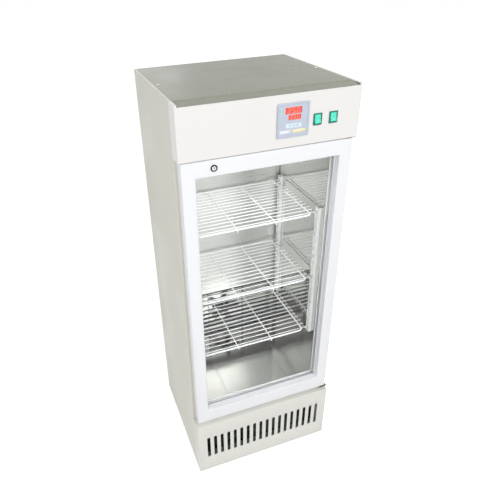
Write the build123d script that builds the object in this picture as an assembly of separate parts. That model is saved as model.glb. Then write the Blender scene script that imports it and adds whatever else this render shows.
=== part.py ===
from build123d import *
import math
import os

# Upright laboratory incubator with a glazed door, a control hood above it and a vented plinth below it.
# Millimetres. X runs across the cabinet, Y from front to back, Z upwards from the ground.

# Cabinet
cabinet_width = 554.0
cabinet_depth = 496.0
cabinet_height = 1480.0
hood_height = 156.0
plinth_height = 262.0
side_wall = 37.0
rear_wall = 32.0
ceiling_wall = 44.0
floor_wall = 60.0
duct_depth = 40.0
steel = 1.2
liner_sheet = 1.0
liner_setback = 8.0
fold_radius = 3.0
side_flange = 24.0
top_flange = 8.0
skirt_clearance = 4.0
seat_gap = 0.3
rod_side_count = 6
turned_side_count = 24
bend_steps = 2

# Feet, base pan and machine deck
foot_height = 6.0
foot_radius = 18.0
foot_inset = 40.0
base_sheet = 2.0
base_lip = 30.0
deck_sheet = 1.5
deck_lip = 18.0
deck_rise = 10.0

# Top cover
cover_drop = 4.0
cover_slope_length = 42.0
cover_lip = 10.0
cover_screw_radius = 2.0
cover_screw_head_radius = 5.0
cover_screw_head = 1.6
cover_screw_inset = 10.0
cover_screw_length = 8.0
cover_screw_setback = 236.0

# Plinth slots
slot_count = 18
slot_pitch = 27.6
slot_width = 12.5
slot_height = 114.0
slot_base = 77.0

# Rear louvres
louvre_length = 160.0
louvre_height = 11.0
louvre_proud = 5.0
louvre_pitch = 22.0
louvre_columns = 2
louvre_column_pitch = 190.0
machine_louvre_rows = 4
machine_louvre_base = 100.0
control_louvre_rows = 3
control_louvre_base = 50.0

# Door
door_recess = 6.0
door_thickness = 44.0
door_clearance = 2.0
door_side_gap = 8.0
door_top_gap = 5.0
door_bottom_gap = 18.0
door_edge_radius = 3.0
stile_width = 41.0
top_rail_width = 49.0
bottom_rail_width = 57.0
window_edge_radius = 2.5
bead_width = 6.0
bead_setback = 17.0
bead_depth = 6.0
bead_step = 2.0
glass_thickness = 4.0
glass_edge_gap = 1.0
spacer_depth = 6.0
spacer_width = 4.0
gasket_width = 14.0
gasket_groove = 8.0
gasket_overlap = 3.0
bulb_width = 10.0

# Door hinges
hinge_edge = 8.0
hinge_setback = 14.0
pin_radius = 4.0
pin_play = 0.05
bush_wall = 2.0
bush_length = 20.0
bush_flange = 1.0
bush_flange_width = 2.0
washer_height = 2.0
bracket_sheet = 3.0
bracket_reach = 8.0
bracket_tab = 28.0
pin_end_gap = 1.5

# Door lock
lock_inset = 96.0
lock_radius = 9.0
lock_ring_radius = 10.5
lock_ring_depth = 2.0
lock_length = 22.0
plug_radius = 6.5
plug_proud = 0.5
keyway_width = 1.6
keyway_height = 7.0
keyway_depth = 5.0
cam_length = 29.5
cam_tip_radius = 5.0
cam_hub_radius = 8.0
cam_thickness = 3.0
cam_room = 1.0

# Controller, its displays and its keys
controller_size = 96.0
controller_offset = 60.0
controller_lift = 78.5
controller_corner = 3.0
controller_body = 90.0
controller_body_depth = 66.0
bezel_proud = 6.0
bezel_rim = 4.0
bezel_recess = 1.0
display_depth = 1.4
upper_display = (50.0, 18.0, 0.0, 27.0)
lower_display = (38.0, 14.0, 4.0, 8.0)
key_count = 4
key_pitch = 11.0
key_width = 9.0
key_height = 5.0
key_offset = 1.5
key_drop = 15.5
key_proud = 1.0
key_flange = 1.0
key_travel = 1.0
key_clearance = 0.25

# Rocker switches
switch_offsets = (138.5, 189.0)
switch_lift = 70.0
switch_flange_width = 27.0
switch_flange_height = 34.0
switch_flange_proud = 2.2
switch_wall = 2.5
switch_body_depth = 16.0
rocker_width = 18.4
rocker_face = 12.0
rocker_tilt = 10.0
rocker_rise = 5.5
rocker_clearance = 0.3
trunnion_radius = 1.5
trunnion_length = 1.8

# Racking
pilaster_width = 20.0
pilaster_depth = 12.0
pilaster_sheet = 1.2
pilaster_base = 178.0
pilaster_headroom = 234.0
pilaster_front = 59.0
pilaster_rear = 354.0
rack_slot_pitch = 30.0
rack_slot_width = 6.4
rack_slot_height = 14.0
rack_slot_base = 20.0
shelf_shares = (0.0, 0.47, 1.0)
bearer_radius = 2.5
bearer_standoff = 9.0
bearer_bend = 6.0
bearer_tail = 6.0

# Wire shelves
shelf_front = 52.0
shelf_rear_gap = 12.0
shelf_overhang = 4.0
shelf_rail_inset = 14.0
rail_radius = 3.0
rail_corner = 16.0
wire_radius = 1.5
wire_count = 14
wire_margin = 8.0
cross_wire_radius = 2.0
cross_wire_count = 2
cross_wire_tail = 8.0
cross_wire_bend = 4.0

# Air duct and its parts
grille_height = 228.0
grille_depth = 8.0
grille_rim = 8.0
blade_count = 9
blade_chord = 9.0
blade_thickness = 1.6
blade_tilt = 35.0
outlet_rows = 2
outlet_columns = 7
outlet_length = 30.0
outlet_width = 10.0
outlet_pitch = 60.0
outlet_row_pitch = 40.0
outlet_drop = 60.0
evaporator_width = 360.0
evaporator_height = 400.0
evaporator_lift = 70.0
evaporator_sheet = 1.2
evaporator_tube_radius = 4.0
evaporator_runs = 5
evaporator_run_length = 320.0
evaporator_run_pitch = 80.0
heater_radius = 3.2
heater_width = 240.0
heater_height = 24.0
heater_lift = 26.0
heater_bend = 9.0
heater_standoff = 22.0
probe_radius = 2.5
probe_length = 52.0
probe_flange_radius = 7.0
probe_flange = 2.0
probe_offset = 130.0
probe_drop = 100.0

# Fans
circulation_fan_radius = 68.0
condenser_fan_radius = 88.0
fan_blades = 5
fan_hub_radius = 15.0
fan_hub_length = 16.0
fan_shaft_radius = 3.0
fan_shaft_play = 0.05
fan_shaft_length = 8.0
fan_root_chord = 18.0
fan_tip_chord = 30.0
fan_blade_angle = 28.0
fan_blade_thickness = 1.6
fan_front_gap = 2.0
motor_radius = 28.0
motor_gap = 2.0
circulation_fan_lift = 114.0
condenser_motor_depth = 46.0
condenser_fan_setback = 96.0
condenser_fan_offset = 120.0
motor_foot = 5.0

# Chamber lamp
lamp_width = 260.0
lamp_depth = 44.0
lamp_height = 14.0
lamp_setback = 66.0
lamp_cover_height = 10.0
lamp_cover_inset = 5.0

# Refrigeration
compressor_radius = 74.0
compressor_height = 168.0
compressor_dome = 46.0
compressor_offset = 130.0
compressor_setback = 330.0
compressor_foot_plate = 3.0
compressor_foot_reach = 86.0
compressor_foot_width = 72.0
mount_radius = 12.0
mount_height = 16.0
condenser_width = 240.0
condenser_offset = 120.0
condenser_setback = 60.0
condenser_tube_radius = 4.0
condenser_runs = 5
condenser_run_pitch = 40.0
condenser_base = 18.0
condenser_plate_depth = 26.0
condenser_plate_sheet = 1.5

# Cable gland
gland_proud = 14.0
gland_radius = 11.0
gland_bore = 4.5
gland_thread_radius = 8.0
gland_inset = 72.0
gland_lift = 46.0
gland_nut = 5.0

# Places worked out from the sizes
half_width = cabinet_width / 2
front_proud = bezel_proud + key_proud
front_y = -(cabinet_depth + gland_proud - front_proud) / 2
back_y = front_y + cabinet_depth
door_front = front_y + door_recess
door_back = door_front + door_thickness
body_front = door_back + door_clearance
body_back = back_y - steel
hood_base = cabinet_height - hood_height
cover_front_top = cabinet_height - cover_drop
panel_base = skirt_clearance
base_top = foot_height + base_sheet
half_inside = half_width - steel - seat_gap
inside_front = body_front + steel + seat_gap
inside_back = body_back - steel - seat_gap
half_chamber = half_width - side_wall
chamber_floor = plinth_height + floor_wall
chamber_top = hood_base - ceiling_wall
liner_back_y = back_y - rear_wall
duct_y = liner_back_y - duct_depth
deck_base = plinth_height + deck_rise
half_door = half_width - door_side_gap
door_base = plinth_height + door_bottom_gap
door_top = hood_base - door_top_gap
half_window = half_door - stile_width
window_base = door_base + bottom_rail_width
window_top = door_top - top_rail_width
bead_front = door_front + bead_setback
outer_glass_y = bead_front + bead_depth + seat_gap
inner_glass_y = outer_glass_y + glass_thickness + spacer_depth
lip_y = inner_glass_y + glass_thickness + seat_gap
hinge_x = half_door - hinge_edge
hinge_y = door_front + hinge_setback
lock_z = door_top - top_rail_width / 2
lock_offset = cabinet_width / 2 - door_side_gap - lock_inset
controller_z = hood_base + controller_lift
switch_z = hood_base + switch_lift
half_gasket = half_chamber + gasket_overlap
pilaster_low = chamber_floor + pilaster_base
pilaster_length = chamber_top - pilaster_headroom - pilaster_low
rack_slot_count = 1 + int((pilaster_length - rack_slot_base) / rack_slot_pitch)
shelf_slots = [round(share * (rack_slot_count - 1)) for share in shelf_shares]
gland_x = half_width - gland_inset
gland_z = base_top + gland_lift
liner_front_y = body_front + liner_setback


# Shapes used again and again

def block(x_span, y_span, z_span):
    spans = (x_span, y_span, z_span)
    size = [high - low for low, high in spans]
    middle = [(high + low) / 2 for low, high in spans]
    return Pos(*middle) * Box(*size)


def face_plate(width, height, corner, x, z, y, thickness):
    outline = Plane.XZ * RectangleRounded(width, height, corner)
    return Pos(x, y, z) * extrude(outline, amount=-thickness)


def face_block(width, height, x, z, y, thickness):
    return block((x - width / 2, x + width / 2), (y, y + thickness), (z - height / 2, z + height / 2))


def disc(radius, x, z, y, thickness):
    return Pos(x, y, z) * extrude(Plane.XZ * Circle(radius), amount=-thickness)


def faceted_post(radius, flats, x, y, z, height):
    return Pos(x, y, z) * extrude(RegularPolygon(radius, flats), amount=height)


def faceted_disc(radius, flats, x, z, y, thickness):
    return Pos(x, y, z) * extrude(Plane.XZ * RegularPolygon(radius, flats), amount=-thickness)


def post(radius, x, y, z, height):
    return Pos(x, y, z) * extrude(Circle(radius), amount=height)


def slot_hole(length, width, x, z, y, depth):
    outline = Plane.XZ * Rectangle(width, length)
    outline = chamfer(outline.vertices(), width * 0.3)
    return Pos(x, y, z) * extrude(outline, amount=-depth)


def straight_rod(start, end, radius):
    way = Vector(*end) - Vector(*start)
    return extrude(Plane(origin=start, z_dir=way) * Circle(radius), amount=way.length)


def rod_start(origin, way, radius):
    across = Vector(1, 0, 0) if abs(way.Z) > 0.5 else Vector(0, 0, 1).cross(way)
    return Plane(origin=origin, x_dir=across, z_dir=way) * RegularPolygon(radius, rod_side_count, major_radius=False)


def flat_rod(start, end, radius):
    way = Vector(*end) - Vector(*start)
    return extrude(rod_start(start, way.normalized(), radius), amount=way.length)


def eased(before, corner, after, bend):
    enter = corner + (before - corner).normalized() * bend
    leave = corner + (after - corner).normalized() * bend
    steps = [step / bend_steps for step in range(bend_steps + 1)]
    return [enter * (1 - t) ** 2 + corner * 2 * t * (1 - t) + leave * t**2 for t in steps]


def bent_rod(points, bend, radius):
    corners = [Vector(*point) for point in points]
    route = [corners[0]]
    for before, corner, after in zip(corners, corners[1:], corners[2:]):
        route.extend(eased(before, corner, after, bend))
    route.append(corners[-1])
    path = Polyline(*route)
    start = rod_start(route[0], (route[1] - route[0]).normalized(), radius)
    return sweep(start, path=path, transition=Transition.RIGHT)


def rectangular_ring(half_outer, z_outer, half_inner, z_inner, y_span):
    outer = block((-half_outer, half_outer), y_span, z_outer)
    inner = block((-half_inner, half_inner), y_span, z_inner)
    return outer - inner


def folded_channel(width, depth, sheet, radius, height):
    outer = Pos(0, depth / 2) * Rectangle(width, depth)
    outer = fillet(outer.vertices().group_by(Axis.Y)[0], radius)
    inner = Pos(0, sheet + depth / 2) * Rectangle(width - 2 * sheet, depth)
    inner = fillet(inner.vertices().group_by(Axis.Y)[0], radius - sheet)
    return extrude(outer - inner, amount=height)


def ease_corners(solid):
    return chamfer(solid.edges().filter_by(Axis.Z), fold_radius)


def on_both_sides(solid):
    return solid + mirror(solid, about=Plane.YZ)


# Cabinet shell

def base_frame():
    outline = block((-half_inside, half_inside), (inside_front, inside_back), (foot_height, foot_height + base_lip))
    hollow = block(
        (-half_inside + base_sheet, half_inside - base_sheet),
        (inside_front + base_sheet, inside_back - base_sheet),
        (base_top, foot_height + base_lip),
    )
    return ease_corners(outline) - hollow


def foot_pads():
    rows = (inside_front + foot_inset, inside_back - foot_inset)
    pads = [faceted_post(foot_radius, 2 * rod_side_count, half_inside - foot_inset, y, 0, foot_height - seat_gap) for y in rows]
    return on_both_sides(pads[0] + pads[1])


def right_side_panel():
    depth = body_back - body_front
    outer = Rectangle(side_flange, depth)
    outer = fillet(outer.vertices().group_by(Axis.X)[-1], fold_radius)
    inner = Pos(-steel, 0) * Rectangle(side_flange, depth - 2 * steel)
    inner = fillet(inner.vertices().group_by(Axis.X)[-1], fold_radius - steel)
    walls = extrude(outer - inner, amount=cabinet_height - panel_base)
    walls = Pos(half_width - side_flange / 2, (body_front + body_back) / 2, panel_base) * walls
    upper_strip = block(
        (half_width - top_flange, half_width - steel / 2),
        (body_front + fold_radius, body_back - fold_radius),
        (cabinet_height - steel, cabinet_height),
    )
    cover_room = block(
        (half_width - side_flange, half_width - top_flange),
        (body_front, body_back),
        (cabinet_height - cover_lip - 2 * steel, cabinet_height),
    )
    return walls - cover_room + upper_strip


def louvre():
    half = louvre_length / 2
    outer = make_face(Polyline((0, louvre_height), (louvre_proud, 0), (0, 0), close=True))
    inner = make_face(Polyline((-steel, louvre_height), (louvre_proud - steel, 0), (-steel, 0), close=True))
    hood_skin = Pos(-half, 0, 0) * extrude(Plane.YZ * outer, amount=louvre_length)
    hollow = Pos(-half + steel, 0, 0) * extrude(Plane.YZ * inner, amount=louvre_length - 2 * steel)
    return hood_skin - hollow


def back_panel():
    panel = block((-half_width, half_width), (body_back, back_y), (panel_base, cabinet_height))
    pressing = louvre()
    slit = block(
        (-louvre_length / 2 + steel, louvre_length / 2 - steel),
        (-2 * steel, steel / 2),
        (0, louvre_height / 2),
    )
    for rows, base in ((machine_louvre_rows, machine_louvre_base), (control_louvre_rows, hood_base + control_louvre_base)):
        for row in range(rows):
            for column in range(louvre_columns):
                x = (column - (louvre_columns - 1) / 2) * louvre_column_pitch
                place = Pos(x, back_y, base + row * louvre_pitch)
                panel = panel - place * slit + place * pressing
    return panel - disc(gland_thread_radius + seat_gap, gland_x, gland_z, body_back - steel, 3 * steel)


def cover_outline_half():
    return half_width - top_flange - 2 * seat_gap


def top_cover():
    rear = body_back - seat_gap
    slope_end = front_y + cover_slope_length
    outline = Polyline(
        (front_y, cover_front_top),
        (slope_end, cabinet_height),
        (rear, cabinet_height),
        (rear, cabinet_height - steel),
        (slope_end, cabinet_height - steel),
        (front_y, cover_front_top - steel),
        close=True,
    )
    half = cover_outline_half()
    sheet = Pos(-half, 0, 0) * extrude(Plane.YZ * make_face(outline), amount=2 * half)
    lip = block(
        (half - steel, half),
        (body_front + fold_radius, rear - fold_radius),
        (cabinet_height - cover_lip, cabinet_height - steel / 2),
    )
    screw_hole = post(
        cover_screw_radius + seat_gap,
        half - cover_screw_inset,
        front_y + cover_screw_setback,
        cabinet_height - 2 * steel,
        3 * steel,
    )
    return sheet + on_both_sides(lip) - on_both_sides(screw_hole)


def top_cover_screws():
    x = cover_outline_half() - cover_screw_inset
    y = front_y + cover_screw_setback
    shank = faceted_post(cover_screw_radius, rod_side_count, x, y, cabinet_height - cover_screw_length, cover_screw_length)
    head = faceted_post(cover_screw_head_radius, 2 * rod_side_count, x, y, cabinet_height, cover_screw_head)
    head = chamfer(head.edges().group_by(Axis.Z)[-1], cover_screw_head * 0.6)
    return on_both_sides(shank + head)


# Control hood and vented plinth

def switch_opening(offset):
    width = switch_flange_width - 2 * rocker_clearance - switch_wall
    height = switch_flange_height - 2 * rocker_clearance - switch_wall
    return block(
        (offset - width / 2, offset + width / 2),
        (front_y - steel, front_y + 2 * steel),
        (switch_z - height / 2, switch_z + height / 2),
    )


def hood():
    depth = body_front - seat_gap - front_y
    walls = folded_channel(cabinet_width, depth, steel, fold_radius, hood_height)
    walls = Pos(0, front_y, hood_base) * walls
    return_depth = body_front - bracket_sheet - 3 * seat_gap
    floor = block((-half_width + steel / 2, half_width - steel / 2), (front_y + fold_radius, return_depth), (hood_base, hood_base + steel))
    front_tuck = block((-half_width + fold_radius, half_width - fold_radius), (front_y + steel / 2, front_y + fold_radius), (hood_base, hood_base + steel))
    upper_strip = block(
        (half_width - top_flange, half_width - steel / 2),
        (front_y + fold_radius, body_front - seat_gap),
        (cabinet_height - steel, cabinet_height),
    )
    cover_room = block(
        (-half_width + top_flange, half_width - top_flange),
        (front_y - steel, front_y + 2 * fold_radius),
        (cover_front_top - steel - seat_gap, cabinet_height + steel),
    )
    cover_ledge = block(
        (-half_width + top_flange, half_width - top_flange),
        (front_y + steel / 2, front_y + cover_lip),
        (cover_front_top - 2 * steel - seat_gap, cover_front_top - steel - seat_gap),
    )
    body = walls + floor + front_tuck + on_both_sides(upper_strip) - cover_room + cover_ledge
    cut_out = controller_body + 2 * seat_gap
    body -= face_block(cut_out, cut_out, controller_offset, controller_z, front_y - steel, 3 * steel)
    for offset in switch_offsets:
        body -= switch_opening(offset)
    reach = cam_length + cam_tip_radius
    tip_room = block(
        (-lock_offset - reach * 0.65, -lock_offset + cam_hub_radius + cam_room),
        (cam_front_y() - cam_room - cam_thickness / 2, cam_front_y() + cam_thickness * 1.5 + cam_room),
        (hood_base - steel, hood_base + 2 * steel),
    )
    return body - tip_room


def vent_panel():
    height = plinth_height - panel_base
    depth = body_front - seat_gap - front_y
    walls = folded_channel(cabinet_width, depth, steel, fold_radius, height)
    walls = Pos(0, front_y, panel_base) * walls
    ledge_depth = body_front - bracket_sheet - 3 * seat_gap
    ledge = block((-half_width + steel / 2, half_width - steel / 2), (front_y + fold_radius, ledge_depth), (plinth_height - steel, plinth_height))
    front_tuck = block((-half_width + fold_radius, half_width - fold_radius), (front_y + steel / 2, front_y + fold_radius), (plinth_height - steel, plinth_height))
    panel = walls + ledge + front_tuck
    for index in range(slot_count):
        x = (index - (slot_count - 1) / 2) * slot_pitch
        panel -= slot_hole(slot_height, slot_width, x, slot_base + slot_height / 2, front_y - steel, 3 * steel)
    return panel


# Chamber

def throat_frame():
    outer = half_width - side_flange - seat_gap
    z_outer = (deck_base + deck_sheet + seat_gap, hood_base - seat_gap)
    z_inner = (chamber_floor, chamber_top)
    sheet = 3 * liner_sheet
    plate = rectangular_ring(outer, z_outer, half_chamber, z_inner, (body_front, body_front + sheet))
    lip_wall = 2 * liner_sheet
    lip_z = (chamber_floor - lip_wall, chamber_top + lip_wall)
    lip = rectangular_ring(half_chamber + lip_wall, lip_z, half_chamber, z_inner, (body_front, liner_front_y - seat_gap))
    return plate + lip


def insulation():
    outer = block(
        (-half_inside, half_inside),
        (liner_front_y, inside_back),
        (deck_base + deck_sheet + seat_gap, hood_base - seat_gap),
    )
    skin = liner_sheet + seat_gap
    cavity = block(
        (-half_chamber - skin, half_chamber + skin),
        (liner_front_y, liner_back_y + skin),
        (chamber_floor - skin, chamber_top + skin),
    )
    return ease_corners(outer) - cavity


def machine_deck():
    plate = block((-half_inside, half_inside), (inside_front, inside_back), (deck_base, deck_base + deck_sheet))
    half_lip = half_inside - fold_radius
    lip = block((-half_lip, half_lip), (inside_front, inside_front + deck_sheet), (deck_base - deck_lip, deck_base + deck_sheet))
    return ease_corners(plate) + lip


def liner_side():
    return block(
        (half_chamber, half_chamber + liner_sheet),
        (liner_front_y, liner_back_y + liner_sheet),
        (chamber_floor - liner_sheet, chamber_top + liner_sheet),
    )


def liner_flat(z_low):
    half = half_chamber - seat_gap
    return block((-half, half), (liner_front_y, liner_back_y - seat_gap), (z_low, z_low + liner_sheet))


def liner_back():
    half = half_chamber - seat_gap
    return block((-half, half), (liner_back_y, liner_back_y + liner_sheet), (chamber_floor - liner_sheet, chamber_top + liner_sheet))


def duct_plate():
    base = chamber_floor + grille_height + seat_gap
    height = chamber_top - seat_gap - base
    plate = folded_channel(2 * (half_chamber - seat_gap), duct_depth - seat_gap, liner_sheet, fold_radius, height)
    plate = Pos(0, duct_y, base) * plate
    for row in range(outlet_rows):
        for column in range(outlet_columns):
            x = (column - (outlet_columns - 1) / 2) * outlet_pitch
            z = chamber_top - outlet_drop - row * outlet_row_pitch
            plate -= face_block(outlet_width, outlet_length, x, z, duct_y - liner_sheet, 3 * liner_sheet)
    return plate - disc(probe_radius + seat_gap, probe_offset, chamber_top - probe_drop, duct_y - liner_sheet, 3 * liner_sheet)


def return_grille():
    half = half_chamber - 2 * seat_gap
    z_low = chamber_floor + seat_gap
    z_high = chamber_floor + grille_height
    y_span = (duct_y, duct_y + grille_depth)
    frame = rectangular_ring(half, (z_low, z_high), half - grille_rim, (z_low + grille_rim, z_high - grille_rim), y_span)
    pitch = (z_high - z_low - 2 * grille_rim) / blade_count
    blade = Rot(blade_tilt, 0, 0) * Box(2 * (half - grille_rim) + blade_thickness, blade_chord, blade_thickness)
    for index in range(blade_count):
        z = z_low + grille_rim + (index + 0.5) * pitch
        frame += Pos(0, duct_y + grille_depth / 2, z) * blade
    return frame


# Air treatment behind the duct plate

def evaporator_plate():
    half = evaporator_width / 2
    base = chamber_floor + grille_height + evaporator_lift
    return block((-half, half), (liner_back_y - seat_gap - evaporator_sheet, liner_back_y - seat_gap), (base, base + evaporator_height))


def serpentine(run_length, pitch, runs, x, y, base, radius):
    side = -1
    points = [(x - run_length / 2, y, base)]
    for run in range(runs):
        z = base + run * pitch
        if run:
            points.append((x + side * run_length / 2, y, z))
        side = -side
        points.append((x + side * run_length / 2, y, z))
    return bent_rod(points, pitch / 2 - radius, radius)


def evaporator_tube():
    y = liner_back_y - 2 * seat_gap - evaporator_sheet - evaporator_tube_radius * 1.2
    span = (evaporator_runs - 1) * evaporator_run_pitch
    base = chamber_floor + grille_height + evaporator_lift + (evaporator_height - span) / 2
    return serpentine(evaporator_run_length, evaporator_run_pitch, evaporator_runs, 0, y, base, evaporator_tube_radius)


def heater():
    half = heater_width / 2
    base = chamber_floor + grille_height + heater_lift
    top = base + heater_height
    y = liner_back_y - heater_standoff
    end = liner_back_y - seat_gap
    inner = half - 2 * heater_bend - 2 * heater_radius
    points = [(-half, end, base), (-half, y, base), (half, y, base), (half, y, top), (-inner, y, top), (-inner, end, top)]
    return bent_rod(points, heater_bend, heater_radius)


def temperature_probe():
    z = chamber_top - probe_drop
    stem = faceted_disc(probe_radius, 2 * rod_side_count, probe_offset, z, duct_y - probe_length, probe_length + duct_depth / 4)
    return stem + faceted_disc(probe_flange_radius, rod_side_count, probe_offset, z, duct_y - seat_gap - probe_flange, probe_flange)


# Fans

def fan_blade(tip_radius):
    outline = Polyline(
        (fan_hub_radius / 2, -fan_root_chord / 2),
        (fan_hub_radius / 2, fan_root_chord / 2),
        (tip_radius - fan_tip_chord / 3, fan_tip_chord / 2),
        (tip_radius, fan_tip_chord / 4),
        (tip_radius, -fan_tip_chord / 4),
        (tip_radius - fan_tip_chord / 3, -fan_tip_chord / 2),
        close=True,
    )
    flat = extrude(Plane.XZ * make_face(outline), amount=fan_blade_thickness / 2, both=True)
    return Rot(fan_blade_angle, 0, 0) * flat


def fan_rotor(tip_radius, x, y, z):
    hub = faceted_disc(fan_hub_radius, turned_side_count, 0, 0, 0, fan_hub_length)
    rotor = hub + disc(fan_shaft_radius, 0, 0, fan_hub_length - 1, motor_gap + fan_shaft_length + 1)
    blade = Pos(0, fan_hub_length / 2, 0) * fan_blade(tip_radius)
    for index in range(fan_blades):
        rotor += Rot(0, index * 360 / fan_blades, 0) * blade
    return Pos(x, y, z) * rotor


def motor_can(x, y, z, depth):
    can = faceted_disc(motor_radius, turned_side_count, x, z, y, depth)
    return can - disc(fan_shaft_radius + fan_shaft_play, x, z, y, fan_shaft_length + seat_gap)


def circulation_fan_place():
    return duct_y + grille_depth + fan_front_gap, chamber_floor + circulation_fan_lift


def circulation_fan():
    y, z = circulation_fan_place()
    return fan_rotor(circulation_fan_radius, 0, y, z)


def circulation_fan_motor():
    y, z = circulation_fan_place()
    front = y + fan_hub_length + motor_gap
    return motor_can(0, front, z, liner_back_y - seat_gap - front)


def condenser_fan_place():
    return front_y + condenser_fan_setback, (base_top + deck_base) / 2


def condenser_fan():
    y, z = condenser_fan_place()
    return fan_rotor(condenser_fan_radius, -condenser_fan_offset, y, z)


def condenser_fan_motor():
    y, z = condenser_fan_place()
    front = y + fan_hub_length + motor_gap
    can = motor_can(-condenser_fan_offset, front, z, condenser_motor_depth)
    half = motor_radius * 0.7
    leg = block(
        (-condenser_fan_offset - half, -condenser_fan_offset + half),
        (front + condenser_motor_depth / 2, front + condenser_motor_depth / 2 + motor_foot),
        (base_top + seat_gap, z - motor_radius / 2),
    )
    foot = block(
        (-condenser_fan_offset - half, -condenser_fan_offset + half),
        (front, front + condenser_motor_depth),
        (base_top + seat_gap, base_top + seat_gap + motor_foot),
    )
    return can + leg + foot


# Refrigeration

def compressor_axis():
    return compressor_offset, front_y + compressor_setback, base_top + mount_height


def compressor():
    pot = faceted_post(compressor_radius, turned_side_count, 0, 0, 0, compressor_height)
    pot = chamfer(pot.edges().group_by(Axis.Z)[-1], compressor_dome / 2, compressor_dome)
    plate = block(
        (-compressor_foot_reach, compressor_foot_reach),
        (-compressor_foot_width, compressor_foot_width),
        (seat_gap, seat_gap + compressor_foot_plate),
    )
    return Pos(*compressor_axis()) * (pot + plate)


def compressor_corners():
    reach_x = compressor_foot_reach - mount_radius
    reach_y = compressor_foot_width - mount_radius
    return [(side * reach_x, end * reach_y) for side in (-1, 1) for end in (-1, 1)]


def compressor_mounts():
    x, y, z = compressor_axis()
    mount = extrude(RegularPolygon(mount_radius, 2 * rod_side_count), amount=z - base_top)
    places = compressor_corners()
    return Compound([Pos(x + place_x, y + place_y, base_top + seat_gap) * mount for place_x, place_y in places])


def condenser():
    x = -condenser_offset
    y = front_y + condenser_setback + condenser_plate_depth / 2
    base = base_top + condenser_base
    coil = serpentine(condenser_width, condenser_run_pitch, condenser_runs, x, y, base, condenser_tube_radius)
    top = base + (condenser_runs - 1) * condenser_run_pitch + 2 * condenser_tube_radius
    solids = [coil]
    for end in (-1, 1):
        post_x = x + end * (condenser_width / 2 - condenser_run_pitch)
        solids.append(block(
            (post_x - condenser_plate_depth / 2, post_x + condenser_plate_depth / 2),
            (y + condenser_tube_radius, y + condenser_tube_radius + condenser_plate_sheet),
            (base_top + seat_gap, top),
        ))
    return Compound(solids)


# Racking and shelves

def pilaster(y):
    depth = pilaster_depth - seat_gap
    z_span = (pilaster_low, pilaster_low + pilaster_length)
    near = half_chamber - pilaster_depth
    y_span = (y - pilaster_width / 2, y + pilaster_width / 2)
    inner_span = (y_span[0] + pilaster_sheet, y_span[1] - pilaster_sheet)
    channel = block((near, near + depth), y_span, z_span) - block((near + pilaster_sheet, near + depth), inner_span, z_span)
    for index in range(rack_slot_count):
        z = rack_slot_z(index)
        channel -= block(
            (near - pilaster_sheet, near + 2 * pilaster_sheet),
            (y - rack_slot_width / 2, y + rack_slot_width / 2),
            (z - rack_slot_height / 2, z + rack_slot_height / 2),
        )
    return channel


def rack_slot_z(index):
    return pilaster_low + rack_slot_base + index * rack_slot_pitch


def bearer_z(level):
    return rack_slot_z(shelf_slots[level]) - rack_slot_height / 2 + seat_gap + bearer_radius


def bearer_x():
    return half_chamber - pilaster_depth - bearer_standoff


def shelf_bearers(level):
    z = bearer_z(level)
    inner = bearer_x()
    outer = half_chamber - pilaster_depth + bearer_tail
    front = body_front + pilaster_front
    rear = body_front + pilaster_rear
    points = [(outer, front, z), (inner, front, z), (inner, rear, z), (outer, rear, z)]
    return on_both_sides(bent_rod(points, bearer_bend, bearer_radius))


def wire_shelf():
    reach = bearer_x() + shelf_overhang
    rail_x = bearer_x() - shelf_rail_inset
    front = body_front + shelf_front
    rear = duct_y - shelf_rear_gap
    rail_z = -wire_radius - rail_radius
    cross_z = -wire_radius - cross_wire_radius
    corners = [(rail_x, front, rail_z), (rail_x, rear, rail_z), (-rail_x, rear, rail_z), (-rail_x, front, rail_z)]
    rods = [bent_rod([(0, front, rail_z), *corners, (0, front, rail_z)], rail_corner, rail_radius)]
    pitch = (rear - front - 2 * wire_margin) / (wire_count - 1)
    for index in range(wire_count):
        y = front + wire_margin + index * pitch
        rods.append(flat_rod((-reach, y, 0), (reach, y, 0), wire_radius))
    cross_pitch = 2 * rail_x / (cross_wire_count + 1)
    hook_y = rail_radius + cross_wire_radius
    for index in range(cross_wire_count):
        x = -rail_x + (index + 1) * cross_pitch
        points = [
            (x, front - hook_y, cross_z - cross_wire_tail),
            (x, front - hook_y, cross_z),
            (x, rear + hook_y, cross_z),
            (x, rear + hook_y, cross_z - cross_wire_tail),
        ]
        rods.append(bent_rod(points, cross_wire_bend, cross_wire_radius))
    return Compound(rods)


def shelf_at(level, shelf):
    return Pos(0, 0, bearer_z(level) + bearer_radius + seat_gap + wire_radius) * shelf


# Chamber lamp

def lamp_housing():
    half = lamp_width / 2
    y = body_front + lamp_setback
    housing = block((-half, half), (y, y + lamp_depth), (chamber_top - seat_gap - lamp_height, chamber_top - seat_gap))
    return chamfer(housing.edges().group_by(Axis.Z)[0], lamp_height / 4)


def lamp_cover():
    half = lamp_width / 2 - lamp_cover_inset
    y = body_front + lamp_setback + lamp_depth / 2
    top = chamber_top - 2 * seat_gap - lamp_height
    reach = lamp_depth / 2 - lamp_cover_inset
    arc = ThreePointArc((y - reach, top), (y, top - lamp_cover_height), (y + reach, top))
    profile = make_face(arc + Line((y + reach, top), (y - reach, top)))
    return Pos(-half, 0, 0) * extrude(Plane.YZ * profile, amount=2 * half)


# Controls on the hood

def controller_case():
    return face_block(controller_body, controller_body, controller_offset, controller_z, front_y, controller_body_depth)


def display_place(display):
    width, height, offset, lift = display
    return width, height, controller_offset + offset, controller_z + lift


def key_places():
    first = controller_offset + key_offset - (key_count - 1) * key_pitch / 2
    return [(first + index * key_pitch, controller_z - key_drop) for index in range(key_count)]


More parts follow.
